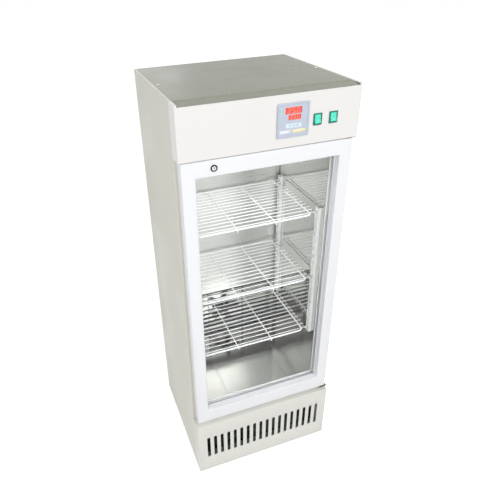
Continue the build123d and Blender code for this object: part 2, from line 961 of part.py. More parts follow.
def controller_bezel():
    y = front_y - bezel_proud
    face_y = y + bezel_recess
    bezel = face_plate(controller_size, controller_size, controller_corner, controller_offset, controller_z, y, bezel_proud - seat_gap)
    bezel = chamfer(bezel.faces().sort_by(Axis.Y)[0].edges(), bezel_recess)
    inner = controller_size - 2 * bezel_rim
    bezel -= face_block(inner, inner, controller_offset, controller_z, y - bezel_recess, 2 * bezel_recess)
    for display in (upper_display, lower_display):
        width, height, x, z = display_place(display)
        bezel -= face_block(width + 2 * seat_gap, height + 2 * seat_gap, x, z, face_y - seat_gap, display_depth + 2 * seat_gap)
    for x, z in key_places():
        bezel -= key_block(x, z, key_clearance, y - bezel_proud, 2 * bezel_proud)
        bezel -= key_flange_block(x, z, key_clearance, key_flange_y() - key_clearance, bezel_proud)
    return bezel


def key_block(x, z, grow, y, depth):
    return face_block(key_width + 2 * grow, key_height + 2 * grow, x, z, y, depth)


def key_flange_block(x, z, grow, y, depth):
    return face_block(key_width + 2 * key_flange + 2 * grow, key_height + 2 * key_flange + 2 * grow, x, z, y, depth)


def key_flange_y():
    return front_y - key_travel - 2 * key_flange


def controller_displays():
    windows = Part()
    for display in (upper_display, lower_display):
        width, height, x, z = display_place(display)
        windows += face_block(width, height, x, z, front_y - bezel_proud + bezel_recess, display_depth)
    return windows


def controller_key(x, z):
    top = front_y - bezel_proud - key_proud
    cap = key_block(x, z, 0, top, key_flange_y() - top + key_flange / 2)
    cap = chamfer(cap.faces().sort_by(Axis.Y)[0].edges(), key_proud / 3)
    return cap + key_flange_block(x, z, 0, key_flange_y(), key_flange)


def rocker_radius():
    tilt = math.radians(rocker_tilt)
    return math.hypot(rocker_rise + rocker_face * math.sin(tilt), rocker_face * math.cos(tilt))


def rocker_pivot_y():
    return front_y - seat_gap - switch_flange_proud + rocker_rise


def switch_housing(offset):
    y = front_y - seat_gap - switch_flange_proud
    flange = face_block(switch_flange_width, switch_flange_height, offset, switch_z, y, switch_flange_proud)
    flange = chamfer(flange.faces().sort_by(Axis.Y)[0].edges(), switch_flange_proud / 4)
    cavity_width = rocker_width + 2 * rocker_clearance
    cavity_height = 2 * (rocker_radius() + rocker_clearance)
    body_width = switch_flange_width - 4 * rocker_clearance - switch_wall
    body_height = switch_flange_height - 4 * rocker_clearance - switch_wall
    body = face_block(body_width, body_height, offset, switch_z, y + switch_flange_proud / 2, switch_body_depth)
    cavity = block(
        (offset - cavity_width / 2, offset + cavity_width / 2),
        (y - steel, y + switch_body_depth - switch_wall),
        (switch_z - cavity_height / 2, switch_z + cavity_height / 2),
    )
    trunnion_hole = straight_rod(
        (offset - cavity_width / 2 - trunnion_length, rocker_pivot_y(), switch_z),
        (offset + cavity_width / 2 + trunnion_length, rocker_pivot_y(), switch_z),
        trunnion_radius + pin_play,
    )
    return flange + body - cavity - trunnion_hole


def switch_rocker(offset):
    spread = 2 * rocker_face
    lift = spread * math.tan(math.radians(rocker_tilt))
    outline = Polyline(
        (-rocker_rise, 0),
        (-rocker_rise - lift, spread),
        (0, spread),
        (rocker_rise, rocker_face / 3),
        (rocker_rise, -rocker_face / 3),
        (0, -spread),
        (-rocker_rise - lift, -spread),
        close=True,
    )
    profile = make_face(outline) & RegularPolygon(rocker_radius(), turned_side_count)
    cap = extrude(Plane.YZ * profile, amount=rocker_width / 2, both=True)
    reach = rocker_width / 2 + trunnion_length
    cap += straight_rod((-reach, 0, 0), (reach, 0, 0), trunnion_radius)
    return Pos(offset, rocker_pivot_y(), switch_z) * Rot(-rocker_tilt, 0, 0) * cap


# Door

def cam_front_y():
    return door_front + lock_length + cam_room


def door_frame():
    frame = block((-half_door, half_door), (door_front, door_back), (door_base, door_top))
    frame = fillet(frame.faces().sort_by(Axis.Y)[0].edges(), door_edge_radius)
    window = block((-half_window, half_window), (door_front - door_recess, lip_y), (window_base, window_top))
    frame -= window
    rim = frame.faces().filter_by(Axis.Y).sort_by(Axis.Y)[0].inner_wires()[0].edges()
    frame = fillet(rim, window_edge_radius)
    frame -= block(
        (-half_window + bead_width, half_window - bead_width),
        (lip_y - seat_gap, door_back + door_clearance),
        (window_base + bead_width, window_top - bead_width),
    )
    frame -= gasket_ring(seat_gap, gasket_width, (door_back - gasket_groove, door_back + door_clearance))
    hole_radius = pin_radius + pin_play + bush_wall + pin_play
    depth = bush_length + pin_end_gap
    frame -= post(hole_radius, hinge_x, hinge_y, door_top - depth, depth)
    frame -= post(hole_radius, hinge_x, hinge_y, door_base, depth)
    frame -= disc(lock_radius + pin_play, -lock_offset, lock_z, door_front, lock_length + cam_room)
    reach = cam_length + cam_tip_radius + cam_room
    return frame - block(
        (-lock_offset - reach, -lock_offset + cam_hub_radius + cam_room),
        (cam_front_y() - cam_room, cam_front_y() + cam_thickness + cam_room),
        (lock_z - cam_hub_radius - cam_room, door_top),
    )


def gasket_ring(grow, width, y_span):
    middle = half_gasket + gasket_width / 2
    drop = gasket_overlap + gasket_width / 2
    low = chamber_floor - drop
    high = chamber_top + drop
    half = width / 2 + grow
    return rectangular_ring(
        middle + half,
        (low - half, high + half),
        middle - half,
        (low + half, high - half),
        y_span,
    )


def door_gasket():
    base = gasket_ring(0, gasket_width, (door_back - gasket_groove + seat_gap, door_back))
    bulb = gasket_ring(0, bulb_width, (door_back - seat_gap, body_front - seat_gap))
    bulb = chamfer(bulb.faces().sort_by(Axis.Y)[-1].edges(), door_clearance / 3)
    return base + bulb


def glazing_bead():
    half = half_window - seat_gap
    z_outer = (window_base + seat_gap, window_top - seat_gap)
    steps = Part()
    for inset, width in ((0.0, bead_width / 2), (bead_step, bead_width)):
        steps += rectangular_ring(
            half,
            z_outer,
            half_window - width,
            (window_base + width, window_top - width),
            (bead_front + inset, bead_front + bead_depth),
        )
    return steps


def glass_pane(y):
    half = half_window - glass_edge_gap
    return block((-half, half), (y, y + glass_thickness), (window_base + glass_edge_gap, window_top - glass_edge_gap))


def glass_spacer():
    half = half_window - 2 * glass_edge_gap
    z_outer = (window_base + 2 * glass_edge_gap, window_top - 2 * glass_edge_gap)
    z_inner = (window_base + 2 * glass_edge_gap + spacer_width, window_top - 2 * glass_edge_gap - spacer_width)
    y_low = outer_glass_y + glass_thickness + seat_gap
    return rectangular_ring(half, z_outer, half - spacer_width, z_inner, (y_low, inner_glass_y - seat_gap))


def hinge_bush(flange, z_sense, z_face):
    outer = pin_radius + pin_play + bush_wall
    sleeve = faceted_post(outer, turned_side_count, 0, 0, -bush_length, bush_length)
    collar = faceted_post(outer + bush_flange_width, rod_side_count, 0, 0, 0, flange)
    bush = sleeve + collar - post(pin_radius + pin_play, 0, 0, -bush_length, bush_length + flange)
    if z_sense < 0:
        bush = Rot(180, 0, 0) * bush
    return Pos(hinge_x, hinge_y, z_face) * bush


def hinge_bushes():
    return hinge_bush(bush_flange, 1, door_top) + hinge_bush(washer_height, -1, door_base)


def hinge_bracket(z_low, tab_span, pin_span):
    inner = hinge_x - 2 * bracket_reach
    outer = half_width - fold_radius
    plate = block((inner, outer), (hinge_y - bracket_reach, body_front - seat_gap), (z_low, z_low + bracket_sheet))
    plate = chamfer(plate.edges().filter_by(Axis.Z).group_by(Axis.Y)[0], bracket_reach * 0.5)
    tab = block((inner, outer), (body_front - seat_gap - bracket_sheet, body_front - seat_gap), tab_span)
    return plate + tab + post(pin_radius, hinge_x, hinge_y, pin_span[0], pin_span[1] - pin_span[0])


def top_bracket_z():
    return door_top + bush_flange + seat_gap


def bottom_bracket_z():
    return door_base - washer_height - seat_gap - bracket_sheet


def hinge_brackets():
    top = top_bracket_z()
    bottom = bottom_bracket_z()
    upper_pin = (door_top - bush_length, top + bracket_sheet)
    lower_pin = (bottom, door_base + bush_length)
    upper = hinge_bracket(top, (top, top + bracket_tab), upper_pin)
    lower = hinge_bracket(bottom, (bottom + bracket_sheet - bracket_tab, bottom + bracket_sheet), lower_pin)
    return upper + lower


# Lock

def lock_housing():
    shell = faceted_disc(lock_radius, turned_side_count, -lock_offset, lock_z, door_front, lock_length)
    ring = disc(lock_ring_radius, -lock_offset, lock_z, door_front - seat_gap - lock_ring_depth, lock_ring_depth)
    ring = chamfer(ring.edges().group_by(Axis.Y)[0], lock_ring_depth / 3)
    neck = faceted_disc(lock_radius, turned_side_count, -lock_offset, lock_z, door_front - lock_ring_depth / 2, lock_ring_depth)
    bore = disc(plug_radius + pin_play, -lock_offset, lock_z, door_front - 2 * lock_ring_depth, lock_length + 4 * lock_ring_depth)
    return shell + ring + neck - bore


def lock_plug():
    front = door_front - seat_gap - lock_ring_depth - plug_proud
    plug = disc(plug_radius, -lock_offset, lock_z, front, cam_front_y() - seat_gap - front)
    plug = chamfer(plug.edges().group_by(Axis.Y)[0], plug_proud)
    return plug - block(
        (-lock_offset - keyway_width / 2, -lock_offset + keyway_width / 2),
        (front - plug_proud, front + keyway_depth),
        (lock_z - keyway_height / 2, lock_z + keyway_height / 2),
    )


def lock_cam():
    hub = RegularPolygon(cam_hub_radius, turned_side_count)
    tip = Pos(-cam_length, 0) * RegularPolygon(cam_tip_radius, turned_side_count)
    arm = Pos(-cam_length / 2, 0) * Rectangle(cam_length, 2 * cam_tip_radius)
    outline = Plane.XZ * (hub + tip + arm)
    return Pos(-lock_offset, cam_front_y(), lock_z) * extrude(outline, amount=-cam_thickness)


# Cable gland

def cable_gland():
    inner_y = body_back - seat_gap - gland_nut
    neck = faceted_disc(gland_thread_radius, turned_side_count, gland_x, gland_z, inner_y, gland_nut + steel + 4 * seat_gap)
    dome = faceted_disc(gland_radius, 2 * rod_side_count, gland_x, gland_z, back_y + seat_gap, gland_proud - seat_gap)
    dome = chamfer(dome.edges().group_by(Axis.Y)[-1], gland_radius - gland_thread_radius)
    nut = faceted_disc(gland_radius * 1.1, rod_side_count, gland_x, gland_z, inner_y, gland_nut)
    bore = faceted_disc(gland_bore, 2 * rod_side_count, gland_x, gland_z, body_back - 2 * gland_nut, 4 * gland_nut + gland_proud)
    return neck + dome + nut - bore


# Every piece by its name

os.makedirs("parts", exist_ok=True)

right_panel = right_side_panel()
right_liner = liner_side()
front_pilaster = pilaster(body_front + pilaster_front)
rear_pilaster = pilaster(body_front + pilaster_rear)
shelf = wire_shelf()

pieces = {
    "base_frame": base_frame(),
    "foot_pads": foot_pads(),
    "side_panel_right": right_panel,
    "side_panel_left": mirror(right_panel, about=Plane.YZ),
    "back_panel": back_panel(),
    "top_cover": top_cover(),
    "top_cover_screws": top_cover_screws(),
    "hood": hood(),
    "vent_panel": vent_panel(),
    "throat_frame": throat_frame(),
    "insulation": insulation(),
    "machine_deck": machine_deck(),
    "liner_right": right_liner,
    "liner_left": mirror(right_liner, about=Plane.YZ),
    "liner_floor": liner_flat(chamber_floor - liner_sheet),
    "liner_ceiling": liner_flat(chamber_top),
    "liner_back": liner_back(),
    "duct_plate": duct_plate(),
    "return_grille": return_grille(),
    "evaporator_plate": evaporator_plate(),
    "evaporator_tube": evaporator_tube(),
    "heater": heater(),
    "temperature_probe": temperature_probe(),
    "circulation_fan": circulation_fan(),
    "circulation_fan_motor": circulation_fan_motor(),
    "condenser_fan": condenser_fan(),
    "condenser_fan_motor": condenser_fan_motor(),
    "compressor": compressor(),
    "compressor_mounts": compressor_mounts(),
    "condenser": condenser(),
    "pilasters": on_both_sides(front_pilaster + rear_pilaster),
    "shelf_bearers": shelf_bearers(0) + shelf_bearers(1) + shelf_bearers(2),
    "lamp_housing": lamp_housing(),
    "lamp_cover": lamp_cover(),
    "controller_case": controller_case(),
    "controller_bezel": controller_bezel(),
    "controller_displays": controller_displays(),
    "door_frame": door_frame(),
    "glazing_bead": glazing_bead(),
    "outer_glass": glass_pane(outer_glass_y),
    "inner_glass": glass_pane(inner_glass_y),
    "glass_spacer": glass_spacer(),
    "door_gasket": door_gasket(),
    "hinge_bushes": hinge_bushes(),
    "hinge_brackets": hinge_brackets(),
    "lock_housing": lock_housing(),
    "lock_plug": lock_plug(),
    "lock_cam": lock_cam(),
    "cable_gland": cable_gland(),
}

for level, name in enumerate(("lower", "middle", "upper")):
    pieces["shelf_" + name] = shelf_at(level, shelf)

for name, offset in zip(("power", "lamp"), switch_offsets):
    pieces["switch_housing_" + name] = switch_housing(offset)
    pieces["switch_rocker_" + name] = switch_rocker(offset)

for index, (x, z) in enumerate(key_places()):
    pieces["controller_key_" + str(index + 1)] = controller_key(x, z)

for name, piece in pieces.items():
    export_step(piece, "parts/" + name + ".step")
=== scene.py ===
"""Looks of an upright laboratory incubator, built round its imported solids."""

from __future__ import annotations

import logging
import math
from dataclasses import dataclass
from enum import Enum
from functools import cache
from typing import Callable, Iterable, Sequence

import bpy
from mathutils import Matrix, Vector


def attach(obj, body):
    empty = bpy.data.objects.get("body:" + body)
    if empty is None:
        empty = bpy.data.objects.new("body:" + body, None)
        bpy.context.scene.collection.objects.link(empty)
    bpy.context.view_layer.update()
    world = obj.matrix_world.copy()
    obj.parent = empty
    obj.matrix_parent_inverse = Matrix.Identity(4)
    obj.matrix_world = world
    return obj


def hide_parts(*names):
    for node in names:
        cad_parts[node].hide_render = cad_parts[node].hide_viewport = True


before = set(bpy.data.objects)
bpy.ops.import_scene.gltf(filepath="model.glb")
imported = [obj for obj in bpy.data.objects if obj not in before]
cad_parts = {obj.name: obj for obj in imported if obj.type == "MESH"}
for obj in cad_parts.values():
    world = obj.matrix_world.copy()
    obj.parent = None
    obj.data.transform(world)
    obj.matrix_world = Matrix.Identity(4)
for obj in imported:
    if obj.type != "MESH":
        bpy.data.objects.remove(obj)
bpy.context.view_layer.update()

logging.basicConfig(level=logging.INFO, format="%(name)s: %(message)s")
LOG = logging.getLogger("incubator")

Point = tuple[float, float, float]
Rings = Sequence[tuple[float, float]]
Piece = bpy.types.Object
Tree = bpy.types.NodeTree
Socket = bpy.types.NodeSocket

# How far a cutter stands out of what it cuts
PROUD = 0.01
# The angle in degrees under which faces are shaded smooth
SMOOTH_ANGLE = 35.0


class Axis(Enum):
    """The three directions of the cabinet."""

    ACROSS = (1.0, 0.0, 0.0)
    DEEP = (0.0, 1.0, 0.0)
    UP = (0.0, 0.0, 1.0)

    @property
    def way(self) -> Vector:
        """The direction as a vector."""
        return Vector(self.value)


# Modelling steps

class Bench:
    """The modelling steps that the sub-assemblies share."""

    @staticmethod
    def mode(name: str) -> None:
        """Change to edit mode or to object mode."""
        bpy.ops.object.mode_set(mode=name)

    @staticmethod
    def clear() -> None:
        """Leave edit mode and deselect everything."""
        if bpy.context.object and bpy.context.object.mode != "OBJECT":
            Bench.mode("OBJECT")
        bpy.ops.object.select_all(action="DESELECT")

    @staticmethod
    def take(piece: Piece) -> None:
        """Make one piece the only selected and the active one.

        Args:
            piece: The piece to work on.
        """
        Bench.clear()
        piece.select_set(True)
        bpy.context.view_layer.objects.active = piece

    @staticmethod
    def settle(name: str) -> Piece:
        """Name the new active piece and put its place, turn and size into its mesh.

        Args:
            name: The piece's name.

        Returns:
            The settled piece.
        """
        piece = bpy.context.object
        piece.name = name
        piece.data.name = name
        bpy.ops.object.transform_apply(location=True, rotation=True, scale=True)
        return piece

    @staticmethod
    def edit(piece: Piece) -> None:
        """Enter edit mode with every face selected.

        Args:
            piece: The piece to work on.
        """
        Bench.take(piece)
        Bench.mode("EDIT")
        bpy.ops.mesh.select_mode(type="FACE")
        bpy.ops.mesh.select_all(action="SELECT")

    @staticmethod
    def choose(piece: Piece, kind: str, test: Callable[[object], bool]) -> None:
        """Enter edit mode with the vertices, edges or faces selected that pass a test.

        Args:
            piece: The piece to work on.
            kind: VERT, EDGE or FACE.
            test: Takes one vertex, edge or face.
        """
        Bench.take(piece)
        Bench.mode("EDIT")
        bpy.ops.mesh.select_mode(type=kind)
        bpy.ops.mesh.select_all(action="DESELECT")
        Bench.mode("OBJECT")
        mesh = piece.data
        for part in {"VERT": mesh.vertices, "EDGE": mesh.edges, "FACE": mesh.polygons}[kind]:
            part.select = bool(test(part))
        Bench.mode("EDIT")

    @staticmethod
    def extrude(shift: Sequence[float]) -> None:
        """Extrude what is selected by a shift."""
        bpy.ops.mesh.extrude_region_move(TRANSFORM_OT_translate={"value": shift})

    @staticmethod
    def close(piece: Piece) -> Piece:
        """Merge doubles, turn the faces outwards and leave edit mode.

        Args:
            piece: The piece in edit mode.

        Returns:
            The same piece.
        """
        bpy.ops.mesh.select_all(action="SELECT")
        bpy.ops.mesh.remove_doubles(threshold=1e-6)
        bpy.ops.mesh.normals_make_consistent(inside=False)
        Bench.mode("OBJECT")
        return piece

    @staticmethod
    def block(name: str, low: Point, high: Point, bevel: float = 0.0, segments: int = 2) -> Piece:
        """Make a block between two corners.

        Args:
            name: The piece's name.
            low: The lowest corner.
            high: The highest corner.
            bevel: How far its edges are rounded.
            segments: How many faces round an edge.

        Returns:
            The block.
        """
        Bench.clear()
        low, high = Vector(low), Vector(high)
        bpy.ops.mesh.primitive_cube_add(size=1.0, location=(low + high) / 2, scale=high - low)
        piece = Bench.settle(name)
        return Bench.bevel(piece, bevel, segments) if bevel else piece

    @staticmethod
    def plate(
        name: str,
        middle: tuple[float, float],
        half: tuple[float, float],
        near: float,
        far: float,
        bevel: float = 0.0,
    ) -> Piece:
        """Make a block that faces the front.

        Args:
            name: The piece's name.
            middle: Its middle, across and up.
            half: Half its width and half its height.
            near: The Y of its front.
            far: The Y of its back.
            bevel: How far its edges are rounded.

        Returns:
            The block.
        """
        (x, z), (wide, high) = middle, half
        return Bench.block(name, (x - wide, near, z - high), (x + wide, far, z + high), bevel)

    @staticmethod
    def disc(name: str, middle: Vector, way: Vector, radius: float, sides: int) -> Piece:
        """Lay a filled ring and leave it selected in edit mode.

        Args:
            name: The piece's name.
            middle: The ring's middle.
            way: Where it faces.
            radius: Its radius.
            sides: How many sides it has.

        Returns:
            The ring.
        """
        Bench.clear()
        turn = way.to_track_quat("Z", "Y").to_euler()
        bpy.ops.mesh.primitive_circle_add(
            vertices=sides, radius=radius, fill_type="NGON", location=middle, rotation=turn
        )
        piece = Bench.settle(name)
        Bench.edit(piece)
        return piece

    @staticmethod
    def turned(name: str, start: Sequence[float], way: Vector, rings: Rings, sides: int = 32) -> Piece:
        """Make a turned piece, ring by ring along its axis.

        Args:
            name: The piece's name.
            start: Where the axis starts.
            way: The direction of the axis.
            rings: Radius and distance along the axis of each ring.
            sides: How many sides a ring has.

        Returns:
            The turned piece, closed at both ends.
        """
        way = way.normalized()
        origin = Vector(start)
        radius, along = rings[0]
        piece = Bench.disc(name, origin + way * along, way, radius, sides)
        for next_radius, next_along in rings[1:]:
            Bench.extrude(way * (next_along - along))
            scale = next_radius / radius
            if abs(scale - 1.0) > 1e-6:
                centre = origin + way * next_along
                bpy.ops.transform.resize(value=(scale, scale, scale), center_override=centre)
            radius, along = next_radius, next_along
        return Bench.close(piece)

    @staticmethod
    def rod(
        name: str,
        start: Sequence[float],
        way: Vector,
        radius: float,
        length: float,
        sides: int = 32,
        chamfer: float = 0.0,
        nose: float = 1.0,
    ) -> Piece:
        """Turn a straight rod, with chamfered ends if a chamfer is given.

        Args:
            name: The piece's name.
            start: Where the rod starts.
            way: Its direction.
            radius: Its radius.
            length: Its length.
            sides: How many sides it has.
            chamfer: How far a chamfer reaches along it.
            nose: The radius of its ends, as a share of its own.

        Returns:
            The rod.
        """
        rings = [(radius, 0.0), (radius, length)]
        if chamfer:
            tip = radius * nose
            rings = [(tip, 0.0), (radius, chamfer), (radius, length - chamfer), (tip, length)]
        return Bench.turned(name, start, way, rings, sides)

    @staticmethod
    def bent_bar(
        name: str, points: Sequence[Point], radius: float, bend: float, sides: int = 12, steps: int = 5
    ) -> Piece:
        """Bend a round bar along straight runs: each run is extruded and each corner is spun.

        Args:
            name: The piece's name.
            points: The corners of the bar's middle line.
            radius: The bar's radius.
            bend: The radius of the middle line at a corner.
            sides: How many sides the bar has.
            steps: How many faces go round a corner.

        Returns:
            The bar, closed at both ends.
        """
        line = [Vector(point) for point in points]
        at = line[0]
        piece = Bench.disc(name, at, (line[1] - at).normalized(), radius, sides)
        for before, corner, after in zip(line, line[1:], line[2:]):
            way = (corner - before).normalized()
            leaving = (after - corner).normalized()
            turn = way.angle(leaving)
            inset = bend * math.tan(turn / 2)
            Bench.extrude(corner - way * inset - at)
            axis = way.cross(leaving).normalized()
            centre = corner - way * inset + axis.cross(way) * bend
            bpy.ops.mesh.spin(steps=steps, angle=-turn, center=centre, axis=axis)
            at = corner + leaving * inset
        Bench.extrude(line[-1] - at)
        return Bench.close(piece)

    @staticmethod
    def ring(
        name: str, outer: tuple[float, float, float, float], width: float, near: float, far: float
    ) -> Piece:
        """Make a rectangular frame that faces the front: a plane is inset, opened and driven back.

        Args:
            name: The piece's name.
            outer: Lowest and highest X, then lowest and highest Z.
            width: The width of the frame's bars.
            near: The Y of its front.
            far: The Y of its back.

        Returns:
            The frame.
        """
        x_low, x_high, z_low, z_high = outer
        middle = ((x_low + x_high) / 2, near, (z_low + z_high) / 2)
        Bench.clear()
        bpy.ops.mesh.primitive_plane_add(size=1.0, location=middle, rotation=(math.pi / 2, 0, 0))
        bpy.context.object.scale = (x_high - x_low, z_high - z_low, 1.0)
        piece = Bench.settle(name)
        Bench.edit(piece)
        bpy.ops.mesh.inset(thickness=width)
        bpy.ops.mesh.delete(type="FACE")
        bpy.ops.mesh.select_all(action="SELECT")
        Bench.extrude((0, far - near, 0))
        return Bench.close(piece)

    @staticmethod
    def modify(piece: Piece, kind: str, **values: object) -> Piece:
        """Add a modifier with its values and apply it.

        Args:
            piece: The piece to change.
            kind: The modifier's type.
            **values: The modifier's values.

        Returns:
            The changed piece.
        """
        Bench.take(piece)
        modifier = piece.modifiers.new(kind.title(), kind)
        for key, value in values.items():
            setattr(modifier, key, value)
        bpy.ops.object.modifier_apply(modifier=modifier.name)
        return piece

    @staticmethod
    def bevel(piece: Piece, width: float, segments: int = 2, angle: float = 30.0) -> Piece:
        """Round the sharp edges of a piece.

        Args:
            piece: The piece to round.
            width: How far the rounding reaches.
            segments: How many faces round an edge.
            angle: The sharpest edge in degrees that stays as it is.

        Returns:
            The rounded piece.
        """
        limit = {"limit_method": "ANGLE", "angle_limit": math.radians(angle)}
        return Bench.modify(piece, "BEVEL", width=width, segments=segments, harden_normals=False, **limit)

    @staticmethod
    def carve(piece: Piece, tools: Sequence[Piece], operation: str = "DIFFERENCE") -> Piece:
        """Work shapes into a piece, one after the other, and throw them away.

        Args:
            piece: The piece to change.
            tools: The shapes.
            operation: DIFFERENCE, UNION or INTERSECT.

        Returns:
            The changed piece.
        """
        for tool in tools:
            Bench.modify(piece, "BOOLEAN", operation=operation, solver="EXACT", object=tool)
            bpy.data.objects.remove(tool)
        return piece

    @staticmethod
    def join(name: str, pieces: Sequence[Piece]) -> Piece:
        """Join pieces into one.

        Args:
            name: The name of the joined piece.
            pieces: The pieces, of which the first one stays.

        Returns:
            The joined piece.
        """
        Bench.clear()
        for piece in pieces:
            piece.select_set(True)
        joined = pieces[0]
        bpy.context.view_layer.objects.active = joined
        if len(pieces) > 1:
            bpy.ops.object.join()
        joined.name = name
        joined.data.name = name
        return joined

    @staticmethod
    def copy(piece: Piece, shift: Sequence[float] = (0, 0, 0)) -> Piece:
        """Copy a piece with a mesh of its own.

        Args:
            piece: The piece to copy.
            shift: How far the copy is moved.

        Returns:
            The copy.
        """
        twin = piece.copy()
        twin.data = piece.data.copy()
        twin.name = "copy"
        bpy.context.scene.collection.objects.link(twin)
        twin.data.transform(Matrix.Translation(Vector(shift)))
        return twin

    @staticmethod
    def repeat(piece: Piece, shifts: Iterable[Sequence[float]]) -> Piece:
        """Copy a piece to several places and join the copies with it.

        Args:
            piece: The piece to repeat.
            shifts: How far each copy is moved.

        Returns:
            The joined piece.
        """
        name = piece.name
        return Bench.join(name, [piece] + [Bench.copy(piece, shift) for shift in shifts])

    @staticmethod
    def turn(piece: Piece, degrees: float, axis: Axis, about: Sequence[float]) -> Piece:
        """Turn a piece about an axis through a point.

        Args:
            piece: The piece to turn.
            degrees: The angle, right-handed.
            axis: The direction of the axis.
            about: A point on the axis.

        Returns:
            The turned piece.
        """
        place = Matrix.Translation(Vector(about))
        piece.data.transform(place @ Matrix.Rotation(math.radians(degrees), 4, axis.way) @ place.inverted())
        return piece

    @staticmethod
    def both_sides(piece: Piece) -> Piece:
        """Mirror a piece to the other side of the cabinet and join the two.

        Args:
            piece: The piece on one side.

        Returns:
            The joined pair.
        """
        name = piece.name
        twin = Bench.copy(piece)
        twin.data.transform(Matrix.Scale(-1.0, 4, Axis.ACROSS.way))
        Bench.edit(twin)
        bpy.ops.mesh.flip_normals()
        Bench.mode("OBJECT")
        return Bench.join(name, [piece, twin])

    @staticmethod
    def dress(
        piece: Piece,
        body: str,
        surface: Surface,
        nodes: Sequence[str] = (),
        slot: str | None = None,
    ) -> None:
        """Give a finished piece its surface and its body.

        Args:
            piece: The finished piece.
            body: The body that it moves with.
            surface: Its surface.
            nodes: The nodes that it stands for.
            slot: The record's material slot, where it isn't the surface's own. Not used.
        """
        Bench.take(piece)
        bpy.ops.object.shade_smooth_by_angle(angle=math.radians(SMOOTH_ANGLE))
        piece.data.materials.clear()
        piece.data.materials.append(surface.material())
        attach(piece, body)
        if nodes:
            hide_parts(*nodes)
        slot or surface.value.slot
        Bench.clear()
        LOG.info("%s rides on %s", piece.name, body)


# Surface effects shared by several finishes

